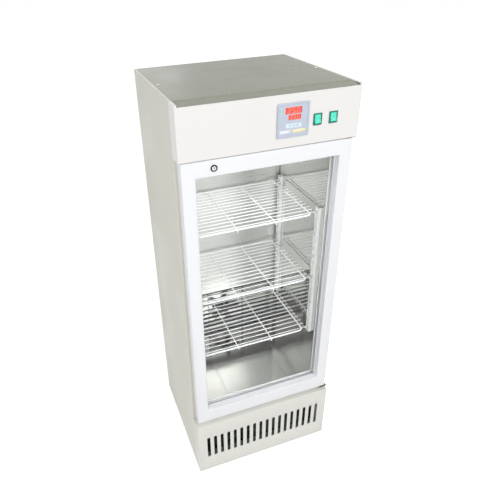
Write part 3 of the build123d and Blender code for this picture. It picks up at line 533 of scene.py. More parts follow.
class Effects:
    """Shader nodes, and node groups that put out masks, heights and normals."""

    @staticmethod
    def group(
        name: str, inputs: dict[str, float | None], outputs: Sequence[str]
    ) -> tuple[Tree, object, object]:
        """Start a node group. An input without a default is a vector, and so is a normal.

        Args:
            name: The group's name.
            inputs: Name and default of each input.
            outputs: The names of the outputs.

        Returns:
            The group, the sockets that its inputs feed and those of its outputs.
        """
        tree = bpy.data.node_groups.new(name, "ShaderNodeTree")
        for label, default in inputs.items():
            kind = "NodeSocketVector" if default is None else "NodeSocketFloat"
            socket = tree.interface.new_socket(label, in_out="INPUT", socket_type=kind)
            if default is not None:
                socket.default_value = default
        for label in outputs:
            kind = "NodeSocketVector" if label == "Normal" else "NodeSocketFloat"
            tree.interface.new_socket(label, in_out="OUTPUT", socket_type=kind)
        return tree, tree.nodes.new("NodeGroupInput").outputs, tree.nodes.new("NodeGroupOutput").inputs

    @staticmethod
    def node(
        tree: Tree, kind: str, links: dict[str | int, object] | None = None, **values: object
    ) -> bpy.types.Node:
        """Add a node with its values and links.

        Args:
            tree: The node tree.
            kind: The node's type, without its prefix.
            links: What each input gets: a socket or a plain value.
            **values: The node's own values.

        Returns:
            The node.
        """
        item = tree.nodes.new("ShaderNode" + kind)
        for key, value in values.items():
            setattr(item, key, value)
        for key, source in (links or {}).items():
            if isinstance(source, bpy.types.NodeSocket):
                tree.links.new(source, item.inputs[key])
            else:
                item.inputs[key].default_value = source
        return item

    @staticmethod
    def number(tree: Tree, operation: str, first: object, second: object, clamp: bool = False) -> Socket:
        """Add a sum and return its result.

        Args:
            tree: The node tree.
            operation: The sum's name.
            first: The first socket or number.
            second: The second socket or number.
            clamp: Whether the result stays between 0 and 1.

        Returns:
            The result's socket.
        """
        sockets = {0: first, 1: second}
        return Effects.node(tree, "Math", sockets, operation=operation, use_clamp=clamp).outputs[0]

    @staticmethod
    def mix(tree: Tree, factor: Socket, first: object, second: object) -> Socket:
        """Mix two colours.

        Args:
            tree: The node tree.
            factor: The mask.
            first: The colour where the mask is 0.
            second: The colour where the mask is 1.

        Returns:
            The mixed colour's socket.
        """
        sockets = {"Factor": factor, "A": first, "B": second}
        return Effects.node(tree, "Mix", sockets, data_type="RGBA").outputs["Result"]

    @staticmethod
    def span(tree: Tree, value: Socket, before: tuple[float, float], after: tuple[float, float]) -> Socket:
        """Map a value from one span to another.

        Args:
            tree: The node tree.
            value: The value's socket.
            before: The span that it comes from.
            after: The span that it goes to.

        Returns:
            The mapped value's socket.
        """
        limits = zip(("From Min", "From Max", "To Min", "To Max"), before + after)
        return Effects.node(tree, "MapRange", {"Value": value, **dict(limits)}).outputs[0]

    @staticmethod
    def noise(tree: Tree, vector: Socket, scale: object, detail: float, roughness: float = 0.5) -> Socket:
        """Add soft noise.

        Args:
            tree: The node tree.
            vector: The coordinates.
            scale: A socket or number.
            detail: How many finer layers it has.
            roughness: How strong the finer layers are.

        Returns:
            The noise's socket.
        """
        sockets = {"Vector": vector, "Scale": scale, "Detail": detail, "Roughness": roughness}
        return Effects.node(tree, "TexNoise", sockets).outputs[0]

    @staticmethod
    def place(tree: Tree) -> Socket:
        """The object's own coordinates."""
        return Effects.node(tree, "TexCoord").outputs["Object"]

    @staticmethod
    def stretch(tree: Tree, vector: Socket, scale: Point) -> Socket:
        """Scale a pattern's coordinates."""
        return Effects.node(tree, "Mapping", {"Vector": vector, "Scale": scale}).outputs[0]

    @staticmethod
    def seen(tree: Tree) -> Socket:
        """Tell the rays that show the background from those that only light.

        Args:
            tree: The node tree.

        Returns:
            The mask's socket.
        """
        light = Effects.node(tree, "LightPath").outputs
        straight = Effects.number(tree, "MAXIMUM", light["Is Camera Ray"], light["Is Transmission Ray"])
        return Effects.number(tree, "MAXIMUM", straight, light["Is Glossy Ray"])

    @staticmethod
    @cache
    def grain() -> Tree:
        """Fine grain over broad clouds, for paint and moulded plastic.

        Returns:
            The group, with Height and Clouds.
        """
        inputs = {"Vector": None, "Fine": 900.0, "Broad": 6.0}
        tree, start, end = Effects.group("fine_grain", inputs, ("Height", "Clouds"))
        for label, scale, detail in (("Height", "Fine", 2.0), ("Clouds", "Broad", 4.0)):
            tree.links.new(Effects.noise(tree, start["Vector"], start[scale], detail), end[label])
        return tree

    @staticmethod
    @cache
    def brushing() -> Tree:
        """Streaks of brushed sheet metal along one direction.

        Returns:
            The group, with Height and Clouds.
        """
        tree, start, end = Effects.group("brushing", {"Vector": None, "Fine": 60.0}, ("Height", "Clouds"))
        tree.links.new(Effects.noise(tree, start["Vector"], start["Fine"], detail=6.0), end["Height"])
        broad_share = 0.12
        slow = Effects.number(tree, "MULTIPLY", start["Fine"], broad_share)
        tree.links.new(Effects.noise(tree, start["Vector"], slow, detail=3.0), end["Clouds"])
        return tree

    @staticmethod
    @cache
    def edges() -> Tree:
        """Softened edges: a normal that rounds them and a mask of where they are.

        Returns:
            The group, with Edge and Normal.
        """
        tree, start, end = Effects.group("softened_edges", {"Reach": 0.001}, ("Edge", "Normal"))
        rounded = Effects.node(tree, "Bevel", {"Radius": start["Reach"]}, samples=4).outputs[0]
        flat = Effects.node(tree, "NewGeometry").outputs["Normal"]
        match = Effects.node(tree, "VectorMath", {0: rounded, 1: flat}, operation="DOT_PRODUCT")
        away = Effects.number(tree, "SUBTRACT", 1.0, match.outputs["Value"])
        sharpness = 6.0
        tree.links.new(Effects.number(tree, "MULTIPLY", away, sharpness, clamp=True), end["Edge"])
        tree.links.new(rounded, end["Normal"])
        return tree

    @staticmethod
    @cache
    def dust() -> Tree:
        """Dust that settles where a surface faces up.

        Returns:
            The group, with Dust.
        """
        tree, start, end = Effects.group("settled_dust", {"Vector": None, "Amount": 0.2}, ("Dust",))
        normal = Effects.node(tree, "NewGeometry").outputs["Normal"]
        facing = Effects.node(tree, "SeparateXYZ", {0: normal}).outputs["Z"]
        up = Effects.number(tree, "POWER", Effects.number(tree, "MAXIMUM", facing, 0.0), 3.0)
        specks = Effects.noise(tree, start["Vector"], scale=28.0, detail=8.0, roughness=0.7)
        patches = Effects.span(tree, specks, (0.4, 0.75), (0.0, 1.0))
        settled = Effects.number(tree, "MULTIPLY", up, patches)
        tree.links.new(Effects.number(tree, "MULTIPLY", settled, start["Amount"], clamp=True), end["Dust"])
        return tree


# Finishes

@dataclass(frozen=True)
class Finish:
    """A surface that is mixed from one colour, its variation, its grain and a painted highlight on its edges.
    """

    name: str
    slot: str
    colour: Point
    roughness: float = 0.4
    metallic: float = 0.0
    fine: float = 900.0
    broad: float = 6.0
    stretch: Point = (1.0, 1.0, 1.0)
    relief: float = 0.05
    relief_depth: float = 0.0002
    variation: float = 0.04
    gloss_variation: float = 0.08
    # The next three set the painted highlight on the edges: how strong it is, how far it reaches and how much
    # lighter it is
    edge: float = 0.12
    edge_reach: float = 0.0012
    edge_highlight: float = 1.25
    dust: float = 0.0
    dust_colour: Point = (0.62, 0.61, 0.58)
    coat: float = 0.0
    coat_roughness: float = 0.12
    specular: float = 0.5
    brushed: bool = False

    def shade(self, factor: float) -> tuple[float, float, float, float]:
        """The colour made lighter or darker, with full cover."""
        return tuple(min(1.0, channel * factor) for channel in self.colour) + (1.0,)

    def material(self) -> bpy.types.Material:
        """Build the material the first time and return it. No finish has the name of a record's slot.

        Returns:
            The material.
        """
        made = bpy.data.materials.get(self.name)
        if made:
            return made
        made = bpy.data.materials.new(self.name)
        made.use_nodes = True
        made.diffuse_color = self.shade(1.0)
        self.fill(made.node_tree, made.node_tree.nodes["Principled BSDF"])
        return made

    def fill(self, tree: Tree, shader: bpy.types.Node) -> None:
        """Connect the nodes to the shader.

        Args:
            tree: The material's node tree.
            shader: Its Principled BSDF.
        """
        place = Effects.place(tree)
        inputs = {"Vector": Effects.stretch(tree, place, self.stretch), "Fine": self.fine}
        group = Effects.brushing()
        if not self.brushed:
            inputs["Broad"] = self.broad
            group = Effects.grain()
        texture = Effects.node(tree, "Group", inputs, node_tree=group).outputs
        edges = Effects.node(tree, "Group", {"Reach": self.edge_reach}, node_tree=Effects.edges()).outputs
        light, dark = self.shade(1.0 + self.variation), self.shade(1.0 - self.variation)
        colour = Effects.mix(tree, texture["Clouds"], dark, light)
        # The edges are painted lighter: a painted highlight
        highlighted_edges = Effects.number(tree, "MULTIPLY", edges["Edge"], self.edge)
        colour = Effects.mix(tree, highlighted_edges, colour, self.shade(self.edge_highlight))
        if self.dust:
            inputs = {"Vector": place, "Amount": self.dust}
            settled = Effects.node(tree, "Group", inputs, node_tree=Effects.dust()).outputs["Dust"]
            colour = Effects.mix(tree, settled, colour, self.dust_colour + (1.0,))
        tree.links.new(self.pattern(tree, place, colour), shader.inputs["Base Color"])
        grade = (max(0.02, self.roughness - self.gloss_variation), self.roughness + self.gloss_variation)
        gloss = Effects.span(tree, texture["Height" if self.brushed else "Clouds"], (0.3, 0.7), grade)
        tree.links.new(gloss, shader.inputs["Roughness"])
        relief = {"Strength": self.relief, "Distance": self.relief_depth}
        relief.update({"Height": texture["Height"], "Normal": edges["Normal"]})
        tree.links.new(Effects.node(tree, "Bump", relief).outputs[0], shader.inputs["Normal"])
        shader.inputs["Metallic"].default_value = self.metallic
        shader.inputs["Specular IOR Level"].default_value = self.specular
        shader.inputs["Coat Weight"].default_value = self.coat
        shader.inputs["Coat Roughness"].default_value = self.coat_roughness

    def pattern(self, tree: Tree, place: Socket, colour: Socket) -> Socket:
        """A finish with a pattern of its own lays it over the colour here.

        Args:
            tree: The material's node tree.
            place: The object's coordinates.
            colour: The colour so far.

        Returns:
            The colour.
        """
        return colour


@dataclass(frozen=True)
class Paint(Finish):
    """Sprayed and baked paint with a faint orange peel."""

    fine: float = 700.0
    relief: float = 0.12
    variation: float = 0.02
    edge: float = 0.25
    dust: float = 0.05


@dataclass(frozen=True)
class Steel(Finish):
    """Brushed sheet or rod, with its streaks along one axis."""

    metallic: float = 1.0
    stretch: Point = (1.0, 1.0, 0.04)
    brushed: bool = True


@dataclass(frozen=True)
class Plated(Finish):
    """Plated, turned or drawn metal."""

    metallic: float = 1.0
    fine: float = 500.0
    relief: float = 0.04


@dataclass(frozen=True)
class PerforatedFinish(Finish):
    """A surface with rows of small dark holes, as on the spacer between two panes."""

    pitch: float = 0.004
    hole: float = 0.0007
    depth: float = 0.15

    def pattern(self, tree: Tree, place: Socket, colour: Socket) -> Socket:
        """Lay dark dots over the colour.

        Args:
            tree: The material's node tree.
            place: The object's coordinates.
            colour: The colour so far.

        Returns:
            The dotted colour.
        """
        sockets = {"Vector": place, "Scale": 1 / self.pitch, "Randomness": 0.0}
        dots = Effects.node(tree, "TexVoronoi", sockets).outputs["Distance"]
        mask = Effects.number(tree, "LESS_THAN", dots, self.hole / self.pitch)
        return Effects.mix(tree, mask, colour, self.shade(self.depth))


@dataclass(frozen=True)
class FoamFinish(Finish):
    """Sawn foam with open cells."""

    cells: float = 420.0
    cell_strength: float = 0.6
    depth: float = 0.7

    def pattern(self, tree: Tree, place: Socket, colour: Socket) -> Socket:
        """Lay dark cells over the colour.

        Args:
            tree: The material's node tree.
            place: The object's coordinates.
            colour: The colour so far.

        Returns:
            The colour with cells.
        """
        cells = Effects.node(tree, "TexVoronoi", {"Vector": place, "Scale": self.cells}).outputs["Distance"]
        mask = Effects.number(tree, "MULTIPLY", cells, self.cell_strength, clamp=True)
        return Effects.mix(tree, mask, colour, self.shade(self.depth))


@dataclass(frozen=True)
class LitFinish(Finish):
    """A surface that glows in its own colour, a little unevenly."""

    glow: float = 3.0
    spots: float = 300.0
    unevenness: float = 0.2

    def fill(self, tree: Tree, shader: bpy.types.Node) -> None:
        """Connect the nodes and the glow to the shader.

        Args:
            tree: The material's node tree.
            shader: Its Principled BSDF.
        """
        super().fill(tree, shader)
        spots = Effects.noise(tree, Effects.place(tree), self.spots, detail=2.0)
        dim, bright = self.shade(1.0 - self.unevenness), self.shade(1.0 + self.unevenness)
        tree.links.new(Effects.mix(tree, spots, dim, bright), shader.inputs["Emission Color"])
        shader.inputs["Emission Strength"].default_value = self.glow


@dataclass(frozen=True)
class GlassFinish(Finish):
    """Clear float glass that lets the lamps' light through."""

    refraction: float = 1.18
    passing: float = 0.97
    smear: float = 0.006

    def fill(self, tree: Tree, shader: bpy.types.Node) -> None:
        """Connect faint smears and the clear shadow to the shader.

        Args:
            tree: The material's node tree.
            shader: Its Principled BSDF.
        """
        vector = Effects.stretch(tree, Effects.place(tree), (3.0, 3.0, 1.0))
        smears = Effects.noise(tree, vector, scale=4.0, detail=5.0)
        tint = Effects.mix(tree, smears, self.shade(1.0), self.shade(1.02))
        light = Effects.node(tree, "LightPath").outputs["Is Shadow Ray"]
        cover = Effects.number(tree, "SUBTRACT", 1.0, Effects.number(tree, "MULTIPLY", light, self.passing))
        tree.links.new(tint, shader.inputs["Base Color"])
        gloss = Effects.span(tree, smears, (0.5, 0.9), (0.0, self.smear))
        tree.links.new(gloss, shader.inputs["Roughness"])
        tree.links.new(cover, shader.inputs["Alpha"])
        shader.inputs["Transmission Weight"].default_value = 1.0
        shader.inputs["IOR"].default_value = self.refraction


class Surface(Enum):
    """Every finish of the incubator."""

    CREAM_PAINT = Paint(
        "cream_paint", "cream_steel", (0.785, 0.775, 0.757), 0.34, variation=0.015, coat=0.15
    )
    # A darker copy of the cream paint for the plinth: painted shade of the light falling off towards the foot
    PLINTH_SHADED_PAINT = Paint(
        "plinth_shaded_paint", "cream_steel", (0.755, 0.748, 0.70), 0.38, dust=0.1, specular=0.4
    )
    # A darker copy of the cream paint for the sides and the back: painted shade of the panels turned away
    # from the light
    SIDE_SHADED_PAINT = Paint("side_shaded_paint", "cream_steel", (0.735, 0.727, 0.645), 0.42, specular=0.2)
    COVER_PAINT = Paint(
        "cover_paint", "grey_steel", (0.305, 0.31, 0.252), 0.27, relief=0.1, fine=650, variation=0.03,
        edge=0.35, dust=0.08, gloss_variation=0.05, specular=0.12
    )
    PAN_PAINT = Paint(
        "pan_paint", "pan_steel", (0.12, 0.125, 0.13), 0.5, relief=0.2, fine=500, variation=0.1,
        edge=0.5, dust=0.5
    )
    POT_PAINT = Paint(
        "pot_paint", "pan_steel", (0.022, 0.022, 0.024), 0.32, relief=0.25, fine=260, variation=0.15,
        edge=0.5, dust=0.35, coat=0.4
    )
    CONDENSER = Paint(
        "condenser_paint", "pan_steel", (0.03, 0.03, 0.032), 0.4, relief=0.2, fine=400, variation=0.2,
        edge=0.4, dust=0.4
    )
    # Black for the hinge brackets; the black also stands for the shade in the gap at the door's hinge corner,
    # so it is partly painted shade
    BRACKET = Paint(
        "bracket_black", "pan_steel", (0.02, 0.02, 0.021), 0.35, relief=0.15, fine=500, variation=0.15,
        edge=0.5, dust=0.0
    )
    WIRE_COAT = Paint(
        "wire_coating", "white_coating", (0.84, 0.855, 0.86), 0.24, relief=0.1, fine=600, edge=0.12,
        coat=0.5, dust=0.06
    )
    RACK_PAINT = Paint(
        "rack_paint", "white_coating", (0.80, 0.81, 0.80), 0.32, relief=0.1, edge=0.2, dust=0.0
    )
    LINER = Steel(
        "liner_sheet", "stainless", (0.66, 0.665, 0.64), 0.05, fine=40, relief=0.0003, variation=0.012,
        gloss_variation=0.006, edge=0.2
    )
    LINER_FLAT = Steel(
        "liner_flat_sheet", "stainless", (0.74, 0.745, 0.72), 0.14, fine=60, stretch=(0.05, 1, 1),
        relief=0.005, variation=0.03, gloss_variation=0.03, edge=0.2
    )
    DUCT = Steel(
        "duct_sheet", "stainless", (0.58, 0.585, 0.565), 0.3, fine=30, relief=0.0, variation=0.012,
        gloss_variation=0.008, edge=0.2
    )
    STAINLESS_ROD = Steel(
        "stainless_rod", "stainless", (0.70, 0.71, 0.70), 0.22, fine=220, stretch=(1, 0.05, 1)
    )
    ALUMINIUM = Steel(
        "aluminium_sheet", "aluminium", (0.77, 0.78, 0.79), 0.34, fine=120, stretch=(0.04, 1, 1), relief=0.06
    )
    SPACER = PerforatedFinish("spacer_bar", "aluminium", (0.72, 0.73, 0.74), 0.4, 1.0, fine=300)
    COPPER = Plated(
        "copper_tube", "copper", (0.72, 0.36, 0.22), 0.28, fine=300, relief=0.1, variation=0.22, broad=40,
        gloss_variation=0.14
    )
    ZINC = Plated(
        "zinc_plate", "zinc", (0.66, 0.66, 0.64), 0.26, relief=0.1, variation=0.12, broad=60,
        gloss_variation=0.12
    )
    CHROME = Plated("lock_chrome", "zinc", (0.62, 0.62, 0.62), 0.12, variation=0.05)
    LOCK_SHELL = Plated("lock_shell", "zinc", (0.045, 0.045, 0.048), 0.2, variation=0.1)
    BRASS = Plated("turned_brass", "brass", (0.70, 0.53, 0.24), 0.26, fine=300, relief=0.08, variation=0.1)
    # Near-black finish for the block at the keyway's bottom: painted shade
    KEYWAY_SHADE = Finish("keyway_shadow", "zinc", (0.02, 0.02, 0.02), 0.7, fine=500)
    THROAT = Finish(
        "throat_plastic", "white_plastic", (0.78, 0.79, 0.79), 0.38, relief=0.08, fine=1200, variation=0.02
    )
    DOOR_WHITE = Finish(
        "door_white", "white_plastic", (0.83, 0.84, 0.86), 0.3, fine=1100, variation=0.006,
        gloss_variation=0.02, edge=0.2, coat=0.1, dust=0.02
    )
    BEAD_WHITE = Finish(
        "bead_white", "white_plastic", (0.74, 0.765, 0.80), 0.34, relief=0.06, fine=1300, variation=0.02,
        edge=0.2
    )
    OPAL = Finish("opal_cover", "opal_plastic", (0.88, 0.885, 0.87), 0.3, variation=0.02)
    BLACK_PLASTIC = Finish(
        "black_moulding", "black_plastic", (0.016, 0.0165, 0.018), 0.45, relief=0.3, fine=1500,
        variation=0.2, edge=0.4, dust=0.12, specular=0.3
    )
    BEZEL = Finish(
        "bezel_moulding", "bezel_plastic", (0.51, 0.555, 0.655), 0.36, relief=0.1, fine=1600,
        variation=0.03, edge=0.3
    )
    BEZEL_FACE = Finish("bezel_face", "bezel_plastic", (0.78, 0.82, 0.86), 0.3, fine=1600, variation=0.03)
    STRIPE = Finish("bezel_stripe", "bezel_plastic", (0.85, 0.79, 0.50), 0.4, fine=1600)
    KEY = Finish("key_moulding", "key_plastic", (0.70, 0.84, 0.90), 0.45, relief=0.2, fine=1800, edge=0.35)
    SWITCH_BODY = Finish(
        "switch_body", "black_plastic", (0.015, 0.13, 0.115), 0.34, relief=0.15, fine=1500, edge=0.4
    )
    SWITCH_MARK = Finish("switch_mark", "green_plastic", (0.82, 0.95, 0.88), 0.3)
    GASKET = Finish("seal_rubber", "gasket_rubber", (0.62, 0.63, 0.65), 0.55, relief=0.2, variation=0.05)
    FOOT = Finish(
        "moulded_rubber", "foot_rubber", (0.03, 0.03, 0.03), 0.7, relief=0.4, fine=700, variation=0.2,
        dust=0.4
    )
    FOAM = FoamFinish(
        "foam_core", "foam", (0.80, 0.72, 0.46), 0.9, relief=0.6, fine=400, relief_depth=0.001,
        variation=0.15
    )
    DISPLAY = LitFinish(
        "display_window", "display", (0.42, 0.03, 0.028), 0.12, relief=0.01, coat=0.6, glow=0.9
    )
    DIGIT = LitFinish("display_digit", "display", (1.0, 0.10, 0.05), 0.3, glow=2.2)
    INDICATOR = LitFinish("indicator", "display", (0.10, 0.75, 0.16), 0.3, glow=0.6)
    SWITCH_FACE = LitFinish(
        "switch_face", "green_plastic", (0.05, 0.66, 0.46), 0.16, relief=0.03, fine=1100, coat=0.6, glow=0.18
    )
    GLASS = GlassFinish("float_glass", "glass", (0.985, 0.99, 0.985))

    def material(self) -> bpy.types.Material:
        """The finish's material."""
        return self.value.material()


# Places

@dataclass(frozen=True)
class Places:
    """Where the cabinet's planes lie, in metres from the ground under its middle."""

    front: float = -0.2515
    door_front: float = -0.2455
    door_back: float = -0.2015
    body_front: float = -0.1995
    back: float = 0.2445
    duct: float = 0.1725
    liner_back: float = 0.2125
    half_width: float = 0.277
    half_door: float = 0.269
    half_window: float = 0.228
    half_chamber: float = 0.240
    plinth_top: float = 0.262
    chamber_floor: float = 0.322
    chamber_top: float = 1.280
    door_base: float = 0.280
    door_top: float = 1.319
    window_base: float = 0.337
    window_top: float = 1.270
    lock_x: float = -0.173
    lock_z: float = 1.2945
    machine_floor: float = 0.0083
    top: float = 1.480
    gap: float = 0.0003


AT = Places()


# Studio

@dataclass
class Studio:
    """The camera, the pale ground and the soft lamps."""

    camera_place: Point = (-0.580, -1.4565, 1.816)
    azimuth: float = 18.65
    drop: float = 30.84
    roll: float = -1.95
    focus: float = 493.12
    centre: tuple[float, float] = (217.1, 243.0)
    frame_size: float = 500.0
    sensor: float = 36.0
    farthest: float = 60.0
    ground_size: float = 24.0
    ground_colour: float = 0.64
    ground_glow: float = 0.60
    ambient: float = 0.52
    lamps: tuple[tuple[str, Point, Point, float, float], ...] = (
        ("right_lamp", (1.3, -3.0, 3.0), (0.0, -0.25, 1.1), 2.0, 59.0),
        ("left_lamp", (-2.2, -2.6, 2.3), (0.0, -0.1, 1.0), 1.4, 41.0),
        ("chamber_lamp", (0.0, -0.02, 1.262), (0.0, 0.02, 0.3), 0.30, 0.6),
        ("rear_lamp", (0.1, 4.0, 2.5), (-0.2, 0.0, 1.48), 1.6, 5.0),
    )

    def build(self) -> None:
        """Build the camera first, then the ground, the world and the lamps."""
        self.place_camera()
        self.lay_ground()
        self.light_world()
        self.hang_lamps()

    def place_camera(self) -> None:
        """Stand the camera where the photograph was taken."""
        azimuth, drop, roll = (math.radians(value) for value in (self.azimuth, self.drop, self.roll))
        level = Vector((math.sin(azimuth), math.cos(azimuth), 0.0))
        ahead = level * math.cos(drop) - Axis.UP.way * math.sin(drop)
        right = Vector((math.cos(azimuth), -math.sin(azimuth), 0.0))
        up = right.cross(ahead)
        tilted_right = right * math.cos(roll) + up * math.sin(roll)
        tilted_up = up * math.cos(roll) - right * math.sin(roll)
        lens = bpy.data.cameras.new("camera")
        lens.sensor_width = self.sensor
        lens.lens = self.focus * self.sensor / self.frame_size
        lens.shift_x = (self.frame_size / 2 - self.centre[0]) / self.frame_size
        lens.shift_y = (self.centre[1] - self.frame_size / 2) / self.frame_size
        lens.clip_end = self.farthest
        camera = bpy.data.objects.new("camera", lens)
        bpy.context.scene.collection.objects.link(camera)
        turn = Matrix((tilted_right, tilted_up, -ahead)).transposed().to_4x4()
        camera.matrix_world = Matrix.Translation(self.camera_place) @ turn
        bpy.context.scene.camera = camera
        bpy.context.scene.view_settings.view_transform = "Standard"
        LOG.info("camera stands at %s", self.camera_place)

    def lay_ground(self) -> None:
        """Lay a pale ground that looks white and keeps the cabinet's shadow."""
        Bench.clear()
        bpy.ops.mesh.primitive_plane_add(size=self.ground_size, location=(0, 0, 0))
        ground = Bench.settle("ground")
        paint = bpy.data.materials.new("ground")
        paint.use_nodes = True
        tree = paint.node_tree
        shader = tree.nodes["Principled BSDF"]
        shader.inputs["Roughness"].default_value = 1.0
        shader.inputs["Specular IOR Level"].default_value = 0.0
        seen = Effects.seen(tree)
        pale = (self.ground_colour, self.ground_colour, self.ground_colour, 1.0)
        colour = Effects.mix(tree, seen, pale, (1.0, 1.0, 1.0, 1.0))
        tree.links.new(colour, shader.inputs["Base Color"])
        tree.links.new(colour, shader.inputs["Emission Color"])
        glow = Effects.number(tree, "MULTIPLY", seen, self.ground_glow)
        tree.links.new(glow, shader.inputs["Emission Strength"])
        ground.data.materials.append(paint)

    def light_world(self) -> None:
        """Fill the world with plain white, a little dimmer as light than as background."""
        world = bpy.data.worlds.new("studio")
        bpy.context.scene.world = world
        world.use_nodes = True
        tree = world.node_tree
        strength = Effects.span(tree, Effects.seen(tree), (0.0, 1.0), (self.ambient, 1.0))
        tree.nodes["Background"].inputs["Color"].default_value = (1.0, 1.0, 1.0, 1.0)
        tree.links.new(strength, tree.nodes["Background"].inputs["Strength"])

    def hang_lamps(self) -> None:
        """Hang a soft lamp on each side in front, one under the chamber's ceiling and a weak one behind."""
        for name, place, aim, size, power in self.lamps:
            lamp = bpy.data.lights.new(name, "AREA")
            lamp.shape = "SQUARE"
            lamp.size = size
            lamp.energy = power
            hung = bpy.data.objects.new(name, lamp)
            bpy.context.scene.collection.objects.link(hung)
            hung.location = place
            hung.rotation_euler = (Vector(aim) - Vector(place)).to_track_quat("-Z", "Y").to_euler()


# Racking

@dataclass
class WireShelf:
    """A shelf of welded and coated round wire."""

    name: str
    centre: float
    reach: float = 0.223
    front: float = -0.1475
    rear: float = 0.1605
    rail: float = 0.205
    rail_radius: float = 0.003
    corner: float = 0.016
    wire_radius: float = 0.0015
    wires: int = 14
    margin: float = 0.008
    chamfer: float = 0.0008
    weld: float = 0.15
    cross_radius: float = 0.002
    cross: float = 0.0683
    cross_bend: float = 0.004
    tail: float = 0.008

    def build(self) -> None:
        """Bend the frame, lay the wires across it and dress the shelf."""
        pitch = (self.rear - self.front - 2 * self.margin) / (self.wires - 1)
        start = (-self.reach, self.front + self.margin, self.centre)
        wire = Bench.rod(
            "wire", start, Axis.ACROSS.way, self.wire_radius, 2 * self.reach, 12, self.chamfer, 0.5
        )
        wires = Bench.repeat(wire, [(0, pitch * index, 0) for index in range(1, self.wires)])
        rail_z = self.centre - self.wire_radius - self.rail_radius + self.wire_radius * self.weld
        corners = ((0, self.front), (self.rail, self.front), (self.rail, self.rear))
        corners += ((-self.rail, self.rear), (-self.rail, self.front), (0, self.front))
        loop = [(x, y, rail_z) for x, y in corners]
        border = Bench.bent_bar("border", loop, self.rail_radius, self.corner, sides=14)
        # The loop is closed, so the ends' face inside the rod comes out
        Bench.choose(border, "FACE", lambda face: abs(face.normal.x) > 0.9 and abs(face.center.x) < AT.gap)
        bpy.ops.mesh.delete(type="FACE")
        Bench.mode("OBJECT")
        cross_z = self.centre - self.wire_radius - self.cross_radius
        hook = self.rail_radius + self.cross_radius
        near, far = self.front - hook, self.rear + hook
        bars = []
        for x in (-self.cross, self.cross):
            hook_z = cross_z - self.tail
            points = [(x, near, hook_z), (x, near, cross_z), (x, far, cross_z), (x, far, hook_z)]
            bars.append(Bench.bent_bar("cross", points, self.cross_radius, self.cross_bend))
        shelf = Bench.join(self.name + "_wires", [wires, border, *bars])
        Bench.dress(shelf, self.name, Surface.WIRE_COAT, [self.name])


@dataclass
class Racking:
    """The shelves and the bearers that carry them."""

    centres: tuple[tuple[str, float], ...] = (
        ("shelf_lower", 0.5201), ("shelf_middle", 0.7601), ("shelf_upper", 1.0301)
    )
    bearer_x: float = 0.219
    bearer_front: float = -0.1405
    bearer_rear: float = 0.1545
    bearer_radius: float = 0.0025
    bearer_bend: float = 0.006
    bearer_end: float = 0.234

    def build(self) -> None:
        """Build the three shelves and their six bearers."""
        for name, centre in self.centres:
            WireShelf(name, centre).build()
        bars = []
        for _, centre in self.centres:
            z = centre - WireShelf.wire_radius - AT.gap - self.bearer_radius
            corners = ((self.bearer_end, self.bearer_front), (self.bearer_x, self.bearer_front))
            corners += ((self.bearer_x, self.bearer_rear), (self.bearer_end, self.bearer_rear))
            points = [(x, y, z) for x, y in corners]
            bars.append(Bench.bent_bar("bearer", points, self.bearer_radius, self.bearer_bend))
        bearers = Bench.both_sides(Bench.join("shelf_bearer_rods", bars))
        Bench.dress(bearers, "cabinet", Surface.STAINLESS_ROD, ["shelf_bearers"])


# Casing

